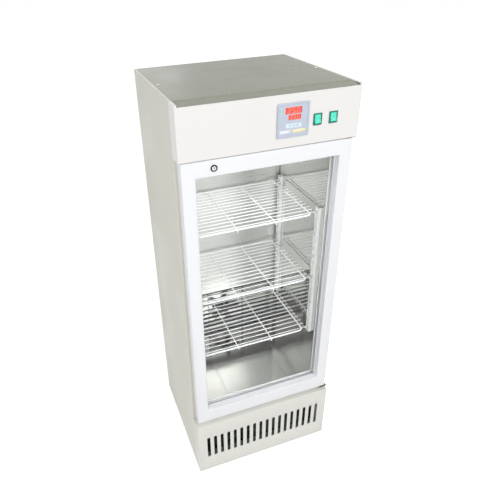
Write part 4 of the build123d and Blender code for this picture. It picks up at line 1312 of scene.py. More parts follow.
@dataclass
class Casing:
    """The plinth panel, the feet and the small fasteners of the cabinet."""

    slots: int = 18
    slot_pitch: float = 0.0276
    slot_width: float = 0.0125
    slot_low: float = 0.077
    slot_high: float = 0.191
    sheet: float = 0.0012
    panel_low: float = 0.004
    foot_radius: float = 0.018
    foot_height: float = 0.0057
    foot_x: float = 0.2355
    foot_rows: tuple[float, float] = (-0.158, 0.2015)
    shank_profile: Rings = ((0.0012, 0.0), (0.002, 0.001), (0.002, 0.008))
    screw_x: float = 0.2584
    screw_y: float = -0.0155
    screw_radius: float = 0.005
    bead_radius: float = 0.0018
    bead_margin: float = 0.010
    fold_setback: float = 0.0445
    rear_screw_x: float = 0.262
    rear_screw_low: float = 0.06
    rear_screw_pitch: float = 0.225
    rear_screw_radius: float = 0.004
    rear_screws_up: int = 7

    def build(self) -> None:
        """Build the plinth panel, the feet and the fasteners."""
        self.vent_panel()
        self.feet()
        self.cover_screws()
        self.cover_fold()
        self.rear_screws()

    def vent_panel(self) -> None:
        """Fold the plinth panel from sheet and cut its round-ended slots."""
        low = (-AT.half_width, AT.front, self.panel_low)
        panel = Bench.block("plinth_panel", low, (AT.half_width, AT.body_front - AT.gap, AT.plinth_top))
        Bench.choose(panel, "FACE", lambda face: face.normal.y > 0.9 or face.normal.z < -0.9)
        bpy.ops.mesh.delete(type="FACE")
        Bench.mode("OBJECT")
        Bench.modify(panel, "SOLIDIFY", thickness=self.sheet, offset=-1.0, use_even_offset=True)
        radius = self.slot_width / 2
        ends = (self.slot_low + radius, self.slot_high - radius)
        slot = Bench.block("slot", (-radius, AT.front - PROUD, ends[0]), (radius, AT.front + PROUD, ends[1]))
        near = AT.front - 1.2 * PROUD
        rounds = [Bench.rod("end", (0, near, z), Axis.DEEP.way, radius, 2.4 * PROUD, 20) for z in ends]
        Bench.carve(slot, rounds, "UNION")
        first = -(self.slots - 1) / 2 * self.slot_pitch
        slots = [Bench.copy(slot, (first + index * self.slot_pitch, 0, 0)) for index in range(self.slots)]
        bpy.data.objects.remove(slot)
        Bench.carve(panel, [Bench.join("cutter", slots)])
        Bench.bevel(panel, 0.0005, 2)
        Bench.dress(panel, "cabinet", Surface.PLINTH_SHADED_PAINT, ["vent_panel"])

    def feet(self) -> None:
        """Turn a rubber foot and set one under each corner."""
        radius, height = self.foot_radius, self.foot_height
        rings = [(radius * 0.86, 0.0), (radius * 0.96, 0.0006), (radius, 0.0018)]
        rings += [(radius * 0.97, height - 0.0008), (radius * 0.9, height)]
        near, far = self.foot_rows
        foot = Bench.turned("feet", (self.foot_x, near, 0.0), Axis.UP.way, rings)
        feet = Bench.both_sides(Bench.repeat(foot, [(0, far - near, 0)]))
        Bench.dress(feet, "cabinet", Surface.FOOT, ["foot_pads"])

    @staticmethod
    def screw(name: str, place: Point, way: Vector, radius: float) -> Piece:
        """Turn a pan head and press a cross recess into it.

        Args:
            name: The piece's name.
            place: The middle of the head's seat.
            way: The direction in which the head stands proud.
            radius: The head's radius.

        Returns:
            The screw's head.
        """
        height = radius * 0.45
        rings = [(radius, 0.0), (radius, height * 0.35)]
        rings += [(radius * 0.85, height * 0.8), (radius * 0.5, height)]
        head = Bench.turned(name, place, way, rings, sides=20)
        top = Vector(place) + way * height
        side = Axis.ACROSS.way
        cutters = []
        for along in (side, way.cross(side)):
            reach = along * radius * 0.5 + way.cross(along) * radius * 0.09 + way * height * 0.5
            reach = Vector([abs(length) for length in reach])
            cutters.append(Bench.block("recess", top - reach, top + reach))
        return Bench.carve(head, cutters)

    def cover_screws(self) -> None:
        """Set a screw with its shank on each side of the top cover."""
        seat = (self.screw_x, self.screw_y, AT.top)
        head = self.screw("cover_screws", seat, Axis.UP.way, self.screw_radius)
        start = (self.screw_x, self.screw_y, AT.top - self.shank_profile[-1][1])
        shank = Bench.turned("shank", start, Axis.UP.way, self.shank_profile, 16)
        screws = Bench.both_sides(Bench.join("cover_screws", [head, shank]))
        Bench.dress(screws, "cabinet", Surface.ZINC, ["top_cover_screws"])

    def cover_fold(self) -> None:
        """Roll the raised bead that runs across the top cover behind its sloping front."""
        radius = self.bead_radius
        half = AT.half_width - self.bead_margin
        start = (-half, AT.front + self.fold_setback, AT.top - radius * 0.2)
        bead = Bench.rod("cover_bead", start, Axis.ACROSS.way, radius, 2 * half, 16, 0.004, 0.5)
        Bench.edit(bead)
        foot = (0, 0, AT.top - radius * 0.3)
        bpy.ops.mesh.bisect(plane_co=foot, plane_no=(0, 0, 1), use_fill=True, clear_inner=True)
        Bench.close(bead)
        Bench.dress(bead, "cabinet", Surface.COVER_PAINT)

    def rear_screws(self) -> None:
        """Fasten the back panel with a row of screws along each side."""
        seat = (self.rear_screw_x, AT.back, self.rear_screw_low)
        head = self.screw("rear_screws", seat, Axis.DEEP.way, self.rear_screw_radius)
        shifts = [(0, 0, self.rear_screw_pitch * index) for index in range(1, self.rear_screws_up)]
        Bench.dress(Bench.both_sides(Bench.repeat(head, shifts)), "cabinet", Surface.ZINC)


# Door

@dataclass
class Door:
    """The glazed door: its frame, bead, seal and hinges."""

    edge: float = 0.003
    rim: float = 0.0025
    bead_front: float = -0.2285
    lip: float = -0.2079
    bead_width: float = 0.006
    groove_low: float = -0.2098
    groove: tuple[float, float] = (0.2427, 0.2573)
    groove_past: float = 0.0173
    seal_past: float = 0.010
    # Width, near and far plane from the door's back, and rounding of each part of the seal
    seal_sections: tuple[tuple[str, float, float, float, float], ...] = (
        ("seal_foot", 0.014, -0.0077, -0.0012, 0.0008),
        ("seal_pleat", 0.0075, -0.0014, 0.0002, 0.0002),
        ("seal_lip", 0.010, 0.0, 0.0017, 0.0007),
    )
    lock_bore: float = 0.00905
    lock_depth: float = 0.033
    cam_length: float = 0.0355
    cam_half: float = 0.009
    cam_slot: tuple[float, float] = (-0.2235, -0.2185)
    hinge_x: float = 0.261
    hinge_y: float = -0.2315
    pin_radius: float = 0.004
    bush_wall: float = 0.00205
    bush_length: float = 0.020
    hole_radius: float = 0.0061
    hole_length: float = 0.03
    hole_feet: tuple[float, float] = (-0.0215, -0.0085)
    plate_reach: float = 0.2765
    leaf_reach: float = 0.274
    bracket_inner: float = 0.016
    bracket_front: float = 0.0145
    bracket_sheet: float = 0.003
    leaf_length: float = 0.028
    # Plate, leaf, foot and head of the pin, up from the door's upper and from its lower edge
    upper_bracket: tuple[float, ...] = (0.0013, 0.0013, -0.020, 0.0043)
    lower_bracket: tuple[float, ...] = (-0.0053, -0.0303, -0.0053, 0.020)

    def build(self) -> None:
        """Build the frame, the bead, the seal and the hinges."""
        self.frame()
        self.bead()
        self.seal()
        self.bushes()
        self.brackets()

    def frame(self) -> None:
        """Cut the frame out of one block and round its rims."""
        low, high = (-AT.half_door, AT.door_front, AT.door_base), (AT.half_door, AT.door_back, AT.door_top)
        door = Bench.block("door_surround", low, high, self.edge, 4)
        near, far = AT.door_front - PROUD, AT.door_back + PROUD
        wide, base, top = AT.half_window, AT.window_base, AT.window_top
        window = Bench.block("window", (-wide, near, base), (wide, self.lip, top))
        bead = self.bead_width
        through = Bench.block("through", (bead - wide, near, base + bead), (wide - bead, far, top - bead))
        inner, outer = self.groove
        edges = (-outer, outer, AT.chamber_floor - self.groove_past, AT.chamber_top + self.groove_past)
        groove = Bench.ring("groove", edges, outer - inner, self.groove_low, far)
        start = (AT.lock_x, near, AT.lock_z)
        lock_bore = Bench.rod("bore", start, Axis.DEEP.way, self.lock_bore, self.lock_depth)
        cam_near, cam_far = self.cam_slot
        cam_room = Bench.block(
            "cam_room",
            (AT.lock_x - self.cam_length, cam_near, AT.lock_z - self.cam_half),
            (AT.lock_x + self.cam_half, cam_far, AT.door_top + PROUD),
        )
        upper, lower = self.hole_feet
        feet = [(self.hinge_x, self.hinge_y, z) for z in (AT.door_top + upper, AT.door_base + lower)]
        holes = [Bench.rod("hole", foot, Axis.UP.way, self.hole_radius, self.hole_length) for foot in feet]
        Bench.carve(door, [window, through, groove, lock_bore, cam_room, *holes])
        self.round_rim(door)
        Bench.dress(door, "door", Surface.DOOR_WHITE, ["door_frame"])

    def round_rim(self, door: Piece) -> None:
        """Round the edge between the door's front and its window.

        Args:
            door: The door's frame.
        """
        close = 1e-4

        def on_rim(index: int) -> bool:
            """Whether a vertex lies on the window's front edge."""
            x, y, z = door.data.vertices[index].co
            in_width = abs(x) < AT.half_window + close
            in_height = AT.window_base - close < z < AT.window_top + close
            on_side = abs(abs(x) - AT.half_window) < close and in_height
            on_end = min(abs(z - AT.window_base), abs(z - AT.window_top)) < close and in_width
            return abs(y - AT.door_front) < close and (on_side or on_end)

        Bench.choose(door, "EDGE", lambda edge: all(on_rim(index) for index in edge.vertices))
        bpy.ops.mesh.bevel(offset=self.rim, segments=4)
        Bench.mode("OBJECT")

    def bead(self) -> None:
        """Build the stepped bead that holds the glass."""
        half = AT.half_window - AT.gap
        outer = (-half, half, AT.window_base + AT.gap, AT.window_top - AT.gap)
        near = self.bead_front
        lower = Bench.ring("bead", outer, self.bead_width - AT.gap, near + 0.002, near + 0.006)
        upper = Bench.ring("bead_top", outer, self.bead_width / 2, near, near + 0.0025)
        bands = [Bench.bevel(lower, 0.0008, 3), Bench.bevel(upper, 0.0006, 3)]
        Bench.dress(Bench.join("glazing_strip", bands), "door", Surface.BEAD_WHITE, ["glazing_bead"])

    def seal(self) -> None:
        """Build the seal: its foot in the groove, its pleat and its soft lip."""
        middle = sum(self.groove) / 2
        low, high = AT.chamber_floor - self.seal_past, AT.chamber_top + self.seal_past
        parts = []
        for name, width, near, far, rounding in self.seal_sections:
            half = width / 2
            outer = (-middle - half, middle + half, low - half, high + half)
            part = Bench.ring(name, outer, width, AT.door_back + near, AT.door_back + far)
            parts.append(Bench.bevel(part, rounding, 3))
        Bench.dress(Bench.join("door_seal", parts), "door", Surface.GASKET, ["door_gasket"])

    def bushes(self) -> None:
        """Turn the flanged bushes in the door's upper and lower edge."""
        outer, length = self.pin_radius + self.bush_wall, self.bush_length
        bushes = []
        for name, face, sense, flange in (
            ("top", AT.door_top, 1.0, 0.001),
            ("bottom", AT.door_base, -1.0, 0.002),
        ):
            way = Axis.UP.way * sense
            start = Vector((self.hinge_x, self.hinge_y, face - length * sense))
            rings = [(outer - 0.0004, 0.0), (outer, 0.0005), (outer, length)]
            rings += [(outer + 0.002, length + 0.0001), (outer + 0.002, length + flange)]
            bush = Bench.turned("bush_" + name, start, way, rings)
            bore = Bench.rod("bore", start - way * PROUD, way, self.pin_radius + 0.00005, 0.04)
            bushes.append(Bench.carve(bush, [bore]))
        Bench.dress(Bench.join("hinge_bush_pair", bushes), "door", Surface.BRASS, ["hinge_bushes"])

    def brackets(self) -> None:
        """Fold the hinge brackets and set their pins."""
        back = AT.body_front - AT.gap
        inner = self.hinge_x - self.bracket_inner
        radius = self.pin_radius
        pieces = []
        for edge, heights in ((AT.door_top, self.upper_bracket), (AT.door_base, self.lower_bracket)):
            low, leaf_low, pin_low, pin_high = (edge + height for height in heights)
            corner = (inner, self.hinge_y - self.bracket_front, low)
            plate = Bench.block("plate", corner, (self.plate_reach, back, low + self.bracket_sheet))
            leaf = Bench.block(
                "leaf",
                (inner, back - self.bracket_sheet, leaf_low),
                (self.leaf_reach, back, leaf_low + self.leaf_length),
            )
            Bench.bevel(Bench.carve(plate, [leaf], "UNION"), 0.0007, 2)
            length = pin_high - pin_low
            rings = [(radius - 0.0008, 0.0), (radius, 0.0008)]
            rings += [(radius, length - 0.0006), (radius - 0.0006, length)]
            pieces += [plate, Bench.turned("pin", (self.hinge_x, self.hinge_y, pin_low), Axis.UP.way, rings)]
        Bench.dress(Bench.join("hinge_bracket_pair", pieces), "cabinet", Surface.BRACKET, ["hinge_brackets"])


@dataclass
class DoorLock:
    """The cylinder lock in the door's top rail."""

    shell_profile: Rings = (
        (0.0093, 0.0), (0.0102, 0.0005), (0.0105, 0.0011), (0.0105, 0.0020), (0.009, 0.0021), (0.009, 0.0243)
    )
    ring_proud: float = 0.0023
    bore_length: float = 0.05
    plug_radius: float = 0.0065
    plug_proud: float = 0.0028
    cam_front: float = -0.2225
    keyway: tuple[float, float] = (0.0009, 0.0036)
    keyway_depth: float = 0.005
    # Lowest corner and highest corner, from the middle of the plug's front
    ward_corners: tuple[Point, Point] = ((-0.0018, -0.001, -0.001), (0.0005, 0.005, 0.0008))
    # The block of painted shade at the keyway's bottom
    shade_block_corners: tuple[Point, Point] = ((-0.0009, 0.0035, -0.0035), (0.0008, 0.0049, 0.0035))

    def build(self) -> None:
        """Turn the shell and the plug, cut the keyway, and set a dark block at its bottom as painted shade.
        """
        way = Axis.DEEP.way
        near = AT.door_front - self.ring_proud
        shell = Bench.turned("lock_shell", (AT.lock_x, near, AT.lock_z), way, self.shell_profile, 40)
        start = (AT.lock_x, near - PROUD, AT.lock_z)
        bore = Bench.rod("bore", start, way, self.plug_radius + 0.0001, self.bore_length, 40)
        Bench.bevel(Bench.carve(shell, [bore]), 0.0002, 2)
        Bench.dress(shell, "door", Surface.LOCK_SHELL, ["lock_housing"])
        front, radius = AT.door_front - self.plug_proud, self.plug_radius
        rings = [(radius - 0.0007, 0.0), (radius, 0.0006), (radius, self.cam_front - AT.gap - front)]
        plug = Bench.turned("lock_barrel", (AT.lock_x, front, AT.lock_z), way, rings, 36)
        near, far = front - 0.001, front + self.keyway_depth
        slot = Bench.plate("keyway", (AT.lock_x, AT.lock_z), self.keyway, near, far)
        ward, floor = (
            [(AT.lock_x + x, front + y, AT.lock_z + z) for x, y, z in corners]
            for corners in (self.ward_corners, self.shade_block_corners)
        )
        Bench.carve(slot, [Bench.block("ward", *ward)], "UNION")
        Bench.bevel(Bench.carve(plug, [slot]), 0.0001, 1)
        # A dark block at the bottom of the keyway: painted shade
        floor = Bench.block("keyway_painted_shade", *floor, 0.0002)
        Bench.dress(plug, "lock", Surface.CHROME, ["lock_plug"])
        Bench.dress(floor, "lock", Surface.KEYWAY_SHADE)


# Controls

@dataclass
class Controller:
    """The panel controller in the hood."""

    x: float = 0.060
    z: float = 1.4025
    size: float = 0.096
    corner: float = 0.003
    front: float = -0.2575
    face: float = -0.2565
    rim: float = 0.004
    displays: tuple[tuple[float, float, float, float], ...] = (
        (0.050, 0.018, 0.0, 0.027),
        (0.038, 0.014, 0.004, 0.008),
    )
    reading: str = "25.0"
    reading_share: tuple[float, float] = (0.84, 0.72)
    digit_share: float = 0.66
    bar_share: float = 0.13
    bar_gap: float = 1.15
    key_size: tuple[float, float] = (0.009, 0.005)
    key_pitch: float = 0.011
    key_offset: float = 0.0015
    key_drop: float = 0.0155
    key_back: float = -0.2540
    flange: float = 0.001
    flange_planes: tuple[float, float] = (-0.2545, -0.2535)
    keys: int = 4
    window_play: float = 0.0003
    key_play: float = 0.00025
    mark_planes: tuple[float, float] = (-0.0003, 0.0001)
    label_rows: tuple[float, float] = (0.037, 0.027)
    label_play: float = 0.0006
    label_margin: float = 0.002
    label_ends: tuple[float, float] = (-0.006, -0.002)
    lamp_corner: tuple[float, float] = (0.005, 0.034)
    lamp_profile: Rings = ((0.0013, 0.0), (0.0013, 0.0006), (0.0008, 0.0010))
    lamp_step: float = 0.010
    field_half: tuple[float, float] = (0.0245, 0.0062)
    field_bar: float = 0.0033
    surround_past: tuple[float, float] = (0.0026, 0.0014)
    surround_bar: float = 0.0011

    def build(self) -> None:
        """Build the bezel, the windows with their digits, the keys and the marks."""
        self.bezel()
        self.windows()
        self.press_keys()
        self.marks()

    def key_places(self) -> list[tuple[float, float]]:
        """Where each key's middle lies, across and up."""
        first = self.x + self.key_offset - (self.keys - 1) * self.key_pitch / 2
        return [(first + index * self.key_pitch, self.z - self.key_drop) for index in range(self.keys)]

    def bezel(self) -> None:
        """Build the bezel: a rounded block with a sunk face and cut windows."""
        half, middle = self.size / 2, (self.x, self.z)
        bezel = Bench.plate("controller_frame", middle, (half, half), self.front, AT.front - AT.gap)

        def runs_back(edge: bpy.types.MeshEdge) -> bool:
            """Whether an edge runs from the front to the back."""
            first, second = (bezel.data.vertices[index].co for index in edge.vertices)
            return abs(first.y - second.y) > 0.001

        Bench.choose(bezel, "EDGE", runs_back)
        bpy.ops.mesh.bevel(offset=self.corner, segments=5)
        Bench.mode("OBJECT")
        Bench.bevel(bezel, 0.0008, 3, 60.0)
        inner, near, far = half - self.rim, self.front - 0.002, AT.front + 0.002
        cutters = [Bench.plate("sunk", middle, (inner, inner), near, self.face)]
        play = self.window_play
        for width, height, offset, lift in self.displays:
            size = (width / 2 + play, height / 2 + play)
            place = (self.x + offset, self.z + lift)
            cutters.append(Bench.plate("window", place, size, near, self.face + 0.0017))
        for place in self.key_places():
            size = [length / 2 + self.key_play for length in self.key_size]
            cutters.append(Bench.plate("key_hole", place, size, near, far))
            size = [length + self.flange for length in size]
            room_near = self.flange_planes[0] - self.key_play
            cutters.append(Bench.plate("flange_room", place, size, room_near, far))
        Bench.carve(bezel, cutters)
        Bench.dress(bezel, "cabinet", Surface.BEZEL, ["controller_bezel"])

    def windows(self) -> None:
        """Build the two windows and their lit digits."""
        panes, digits = [], []
        for width, height, offset, lift in self.displays:
            x, z = self.x + offset, self.z + lift
            size = (width / 2, height / 2)
            panes.append(Bench.plate("pane", (x, z), size, self.face, self.face + 0.0014, 0.0004))
            wide, tall = self.reading_share
            digits += self.number(self.reading, x, z, width * wide, height * tall)
        Bench.dress(Bench.join("display_panes", panes), "cabinet", Surface.DISPLAY, ["controller_displays"])
        Bench.dress(Bench.join("display_digits", digits), "cabinet", Surface.DIGIT)

    def number(self, text: str, x: float, z: float, width: float, height: float) -> list[Piece]:
        """Lay out a number in seven-bar digits.

        Args:
            text: The number.
            x: The middle of the number, across.
            z: The middle of the number, up.
            width: The number's width.
            height: The digits' height.

        Returns:
            The bars.
        """
        lit = {"0": "abcdef", "2": "abdeg", "5": "acdfg"}
        figures = text.replace(".", "")
        step = width / len(figures)
        wide, bar = step * self.digit_share, height * self.bar_share
        side, end, arm = wide / 2 - bar / 2, height / 2 - bar / 2, height / 4
        places = {"a": (0.0, end), "g": (0.0, 0.0), "d": (0.0, -end)}
        places.update({"f": (-side, arm), "b": (side, arm), "e": (-side, -arm), "c": (side, -arm)})
        bars = []
        for index, figure in enumerate(figures):
            middle = x - width / 2 + step * (index + 0.5)
            for name in lit[figure]:
                flat = name in "adg"
                across, up = places[name]
                length = (wide if flat else height / 2) - bar * self.bar_gap
                bars.append(self.bar(middle + across, z + up, length, bar, flat))
        point_x = x - width / 2 + step * (text.index(".") - 0.02)
        place = (point_x, self.face - 0.0002, z - height / 2 + bar * 0.6)
        bars.append(Bench.turned("point", place, Axis.DEEP.way, [(bar * 0.5, 0.0), (bar * 0.55, 0.0003)], 12))
        return bars

    def bar(self, x: float, z: float, length: float, width: float, flat: bool) -> Piece:
        """Make one bar of a digit, with pointed ends.

        Args:
            x: The bar's middle, across.
            z: The bar's middle, up.
            length: Its length without the points.
            width: Its width.
            flat: Whether it lies flat.

        Returns:
            The bar.
        """
        half = (length / 2, width / 2) if flat else (width / 2, length / 2)
        bar = Bench.plate("bar", (x, z), half, self.face - 0.0002, self.face + 0.0002)
        way = Axis.ACROSS.way if flat else Axis.UP.way
        scale = (1.0, 1.0, 0.12) if flat else (0.12, 1.0, 1.0)
        for sense in (1.0, -1.0):
            Bench.choose(bar, "FACE", lambda face: face.normal.dot(way) * sense > 0.9)
            Bench.extrude(way * sense * width / 2)
            end = Vector((x, self.face, z)) + way * sense * (length / 2 + width / 2)
            bpy.ops.transform.resize(value=scale, center_override=end)
            Bench.mode("OBJECT")
        return bar

    def press_keys(self) -> None:
        """Build the four keys with dished tops and their flanges."""
        half = [length / 2 for length in self.key_size]
        wider = [length + self.flange for length in half]
        for index, place in enumerate(self.key_places(), 1):
            cap = Bench.plate(f"key_cap_{index}", place, half, self.front - 0.001, self.key_back)
            Bench.choose(cap, "FACE", lambda face: face.normal.y < -0.9)
            bpy.ops.mesh.inset(thickness=0.0007)
            bpy.ops.transform.translate(value=(0, 0.0004, 0))
            Bench.mode("OBJECT")
            Bench.bevel(cap, 0.0004, 3)
            flange = Bench.plate("flange", place, wider, *self.flange_planes, 0.0002)
            key = Bench.join(cap.name, [cap, flange])
            Bench.dress(key, f"key_{index}", Surface.KEY, [f"controller_key_{index}"])

    def marks(self) -> None:
        """Add the two pale labels, the status lamps, the field round the keys and the window frames."""
        inner = self.size / 2 - self.rim - self.label_play
        near, far = (self.face + plane for plane in self.mark_planes)
        low, high = (self.z - drop for drop in self.label_rows)
        end, start = (self.x + place for place in self.label_ends)
        for name, left, right, surface in (
            ("controller_stripe", start, self.x + inner - self.label_margin, Surface.STRIPE),
            ("controller_label", self.x - inner + self.label_margin, end, Surface.BEZEL_FACE),
        ):
            label = Bench.block(name, (left, near, low), (right, far, high), 0.0003)
            Bench.dress(label, "cabinet", surface)
        across, up = self.lamp_corner
        start = (self.x - inner + across, self.face + 0.0002, self.z + up)
        lamp = Bench.turned("controller_lamps", start, -Axis.DEEP.way, self.lamp_profile, 16)
        lamps = Bench.repeat(lamp, [(0, 0, -self.lamp_step * index) for index in range(1, 4)])
        Bench.dress(lamps, "cabinet", Surface.INDICATOR)
        middle, level = self.x + self.key_offset, self.z - self.key_drop
        wide, tall = self.field_half
        field = (middle - wide, middle + wide, level - tall, level + tall)
        Bench.dress(Bench.ring("key_field", field, self.field_bar, near, far), "cabinet", Surface.KEY)
        frames = []
        for width, height, offset, lift in self.displays:
            x, z = self.x + offset, self.z + lift
            wide, tall = width / 2 + self.surround_past[0], height / 2 + self.surround_past[1]
            outer = (x - wide, x + wide, z - tall, z + tall)
            frames.append(Bench.bevel(Bench.ring("surround", outer, self.surround_bar, near, far), 0.0002, 2))
        Bench.dress(Bench.join("display_surrounds", frames), "cabinet", Surface.THROAT, slot="bezel_plastic")


@dataclass
class RockerSwitch:
    """A lit rocker switch in its frame."""

    name: str
    x: float
    z: float = 1.394
    width: float = 0.027
    height: float = 0.034
    flange: float = 0.0022
    wall: float = 0.00185
    body_depth: float = 0.0171
    room_depth: float = 0.0135
    play: float = 0.0003
    rocker_width: float = 0.0184
    rise: float = 0.0055
    face: float = 0.012
    tilt: float = 10.0
    axle_radius: float = 0.0015
    axle_past: float = 0.0018
    wedge_half: tuple[float, float] = (0.03, 0.06)
    wedge_depth: float = 0.04
    side_half: float = 0.02
    side_reach: float = 0.05
    side_past: float = 0.01
    back_reach: float = 0.03
    mark_place: float = 0.55
    mark_reach: float = 0.0022
    mark_depth: float = 0.00025

    @property
    def near(self) -> float:
        """The Y of the frame's front."""
        return AT.front - AT.gap - self.flange

    @property
    def pivot(self) -> float:
        """The Y of the rocker's axis."""
        return self.near + self.rise

    @property
    def radius(self) -> float:
        """How far the rocker's ends reach from its axis."""
        tilt = math.radians(self.tilt)
        return math.hypot(self.rise + self.face * math.sin(tilt), self.face * math.cos(tilt))

    def build(self) -> None:
        """Build the frame and the rocker."""
        self.housing()
        self.rocker()

    def housing(self) -> None:
        """Build the frame with its rounded rim and its body behind the hood."""
        near, middle = self.near, (self.x, self.z)
        half = (self.width / 2, self.height / 2)
        rim = Bench.plate(f"switch_frame_{self.name}", middle, half, near, AT.front - AT.gap)
        Bench.bevel(rim, 0.0006, 3)
        half = [length - self.wall for length in half]
        body = Bench.plate("body", middle, half, near + 0.0011, near + self.body_depth, 0.0003)
        Bench.carve(rim, [body], "UNION")
        wide = self.rocker_width / 2 + self.play
        half = (wide, self.radius + self.play)
        room = Bench.plate("room", middle, half, near - PROUD, near + self.room_depth)
        start = (self.x - wide - self.axle_past, self.pivot, self.z)
        length = 2 * (wide + self.axle_past)
        axle = Bench.rod("axle", start, Axis.ACROSS.way, self.axle_radius + 0.00005, length, 20)
        Bench.carve(rim, [room, axle])
        Bench.dress(rim, "cabinet", Surface.SWITCH_BODY, [f"switch_housing_{self.name}"])

    def rocker(self) -> None:
        """Build the rocker: a drum with two flat faces and its axle, and the mark on each face."""
        x, z, pivot = self.x, self.z, self.pivot
        near, wide = pivot - self.rise, self.rocker_width / 2
        name = f"rocker_{self.name}_cap"
        drum = Bench.rod(name, (x - wide, pivot, z), Axis.ACROSS.way, self.radius, 2 * wide, 48)
        half, reach, past = self.side_half, self.side_reach, self.side_past
        for sense, low, high in ((1.0, z, z + reach), (-1.0, z - reach, z)):
            wedge = Bench.plate("wedge", (x, z), self.wedge_half, near - self.wedge_depth, near)
            Bench.turn(wedge, self.tilt * sense, Axis.ACROSS, (x, near, z))
            side = Bench.block("side", (x - half, pivot - reach, low), (x + half, pivot + past, high))
            Bench.carve(drum, [Bench.carve(wedge, [side], "INTERSECT")])
        reach = self.back_reach
        back = Bench.plate("back", (x, z), (reach, reach), pivot + self.rise, pivot + reach)
        Bench.bevel(Bench.carve(drum, [back]), 0.0007, 3, 25.0)
        start = (x - wide - self.axle_past, pivot, z)
        length = 2 * (wide + self.axle_past)
        axle = Bench.rod("axle", start, Axis.ACROSS.way, self.axle_radius, length, 20, 0.0004, 0.8)
        rocker = Bench.join(drum.name, [drum, axle])
        marks = Bench.join(f"rocker_{self.name}_marks", [self.mark(1.0), self.mark(-1.0)])
        for piece, surface, nodes in (
            (rocker, Surface.SWITCH_FACE, [f"switch_rocker_{self.name}"]),
            (marks, Surface.SWITCH_MARK, []),
        ):
            Bench.turn(piece, -self.tilt, Axis.ACROSS, (x, pivot, z))
            Bench.dress(piece, f"rocker_{self.name}", surface, nodes)

    def mark(self, sense: float) -> Piece:
        """Make the line on the rocker's upper face or the ring on its lower one.

        Args:
            sense: 1 for the upper face, -1 for the lower one.

        Returns:
            The mark.
        """
        slope, along = math.radians(self.tilt), self.face * self.mark_place
        near = self.pivot - self.rise - along * math.sin(slope) + 0.0001
        place = Vector((self.x, near, self.z + sense * along * math.cos(slope)))
        reach, deep = self.mark_reach, Axis.DEEP.way
        if sense > 0:
            half = Vector((0.0004, self.mark_depth, reach))
            mark = Bench.block("line", place - half, place + half, 0.0001)
        else:
            mark = Bench.rod("ring", place - deep * self.mark_depth, deep, reach, 2 * self.mark_depth, 24)
            Bench.carve(mark, [Bench.rod("bore", place - deep * 0.001, deep, 0.0015, 0.002, 24)])
        return Bench.turn(mark, self.tilt * sense, Axis.ACROSS, place)


# Fans

@dataclass
class FanRotor:
    """A moulded fan: a domed hub on its shaft with twisted blades."""

    name: str
    node: str
    place: Point
    tip: float
    blades: int = 5
    hub: float = 0.015
    length: float = 0.016
    root: float = 0.8
    chord: float = 0.024
    taper: float = 0.5
    pitch: float = 28.0
    twist: float = 14.0
    thickness: float = 0.0014
    shaft: float = 0.003
    shaft_length: float = 0.0105

    def build(self) -> None:
        """Turn the hub and set the blades round it."""
        start, way = Vector(self.place), Axis.DEEP.way
        rings = [(self.hub * 0.5, 0.0), (self.hub * 0.84, 0.0012), (self.hub, 0.0040)]
        rings += [(self.hub, self.length - 0.0008), (self.hub - 0.0008, self.length)]
        hub = Bench.turned(self.name, start, way, rings, 40)
        seat = start + way * (self.length - 0.001)
        shaft = Bench.rod("shaft", seat, way, self.shaft, self.shaft_length, 20)
        blade = self.blade()
        middle = Vector(((self.hub * self.root + self.tip) / 2, self.length / 2, 0))
        blade.data.transform(Matrix.Translation(start + middle))
        angles = [360 / self.blades * index for index in range(1, self.blades)]
        copies = [Bench.turn(Bench.copy(blade), angle, Axis.DEEP, start) for angle in angles]
        fan = Bench.join(self.name, [hub, shaft, blade, *copies])
        Bench.dress(fan, self.node, Surface.BLACK_PLASTIC, [self.node])

    def blade(self) -> Piece:
        """Mould one blade: a plate with a rounded tip, tapered, thickened and twisted.

        Returns:
            The blade, with its middle at the origin.
        """
        reach = self.tip - self.hub * self.root
        Bench.clear()
        turn = (math.pi / 2, 0, 0)
        bpy.ops.mesh.primitive_grid_add(x_subdivisions=6, y_subdivisions=4, size=1.0, rotation=turn)
        bpy.context.object.scale = (reach, self.chord, 1.0)
        blade = Bench.settle("blade")
        corner = (reach * 0.499, self.chord * 0.499)
        Bench.choose(blade, "VERT", lambda spot: spot.co.x > corner[0] and abs(spot.co.z) > corner[1])
        bpy.ops.mesh.bevel(offset=self.chord * 0.22, segments=4, affect="VERTICES")
        Bench.mode("OBJECT")
        Bench.modify(blade, "SIMPLE_DEFORM", deform_method="TAPER", deform_axis="X", factor=self.taper)
        Bench.modify(blade, "SOLIDIFY", thickness=self.thickness, offset=0.0)
        twist = math.radians(self.twist)
        Bench.modify(blade, "SIMPLE_DEFORM", deform_method="TWIST", deform_axis="X", angle=twist)
        return Bench.turn(blade, self.pitch, Axis.ACROSS, (0, 0, 0))


def motor_can(name: str, place: Point, depth: float, radius: float = 0.028) -> Piece:
    """Turn a motor can with a rolled seam and a bearing boss.

    Args:
        name: The piece's name.
        place: The middle of its front.
        depth: Its depth.
        radius: Its radius.

    Returns:
        The motor.
    """
    rings = [(0.0062, 0.0), (0.0070, 0.0008), (0.0070, 0.0022), (radius * 0.90, 0.0030), (radius, 0.0052)]
    seam = radius - 0.0012
    rings += [(radius, depth * 0.50), (seam, depth * 0.52), (seam, depth * 0.60), (radius, depth * 0.62)]
    rings += [(radius, depth - 0.0010), (radius - 0.0010, depth)]
    return Bench.turned(name, place, Axis.DEEP.way, rings, 48)


def coil_line(middle: float, y: float, base: float, reach: float, pitch: float, runs: int) -> list[Point]:
    """Lay out the middle line of a flat coil that runs from side to side and upwards.

    Args:
        middle: The X of its middle.
        y: Its Y.
        base: The Z of its lowest run.
        reach: How far a run reaches to each side.
        pitch: The height from run to run.
        runs: How many runs it has.

    Returns:
        The corners of the line.
    """
    points = []
    for run in range(runs):
        side = reach * (-1) ** run
        points += [(middle - side, y, base + run * pitch), (middle + side, y, base + run * pitch)]
    return points


# Chamber fittings

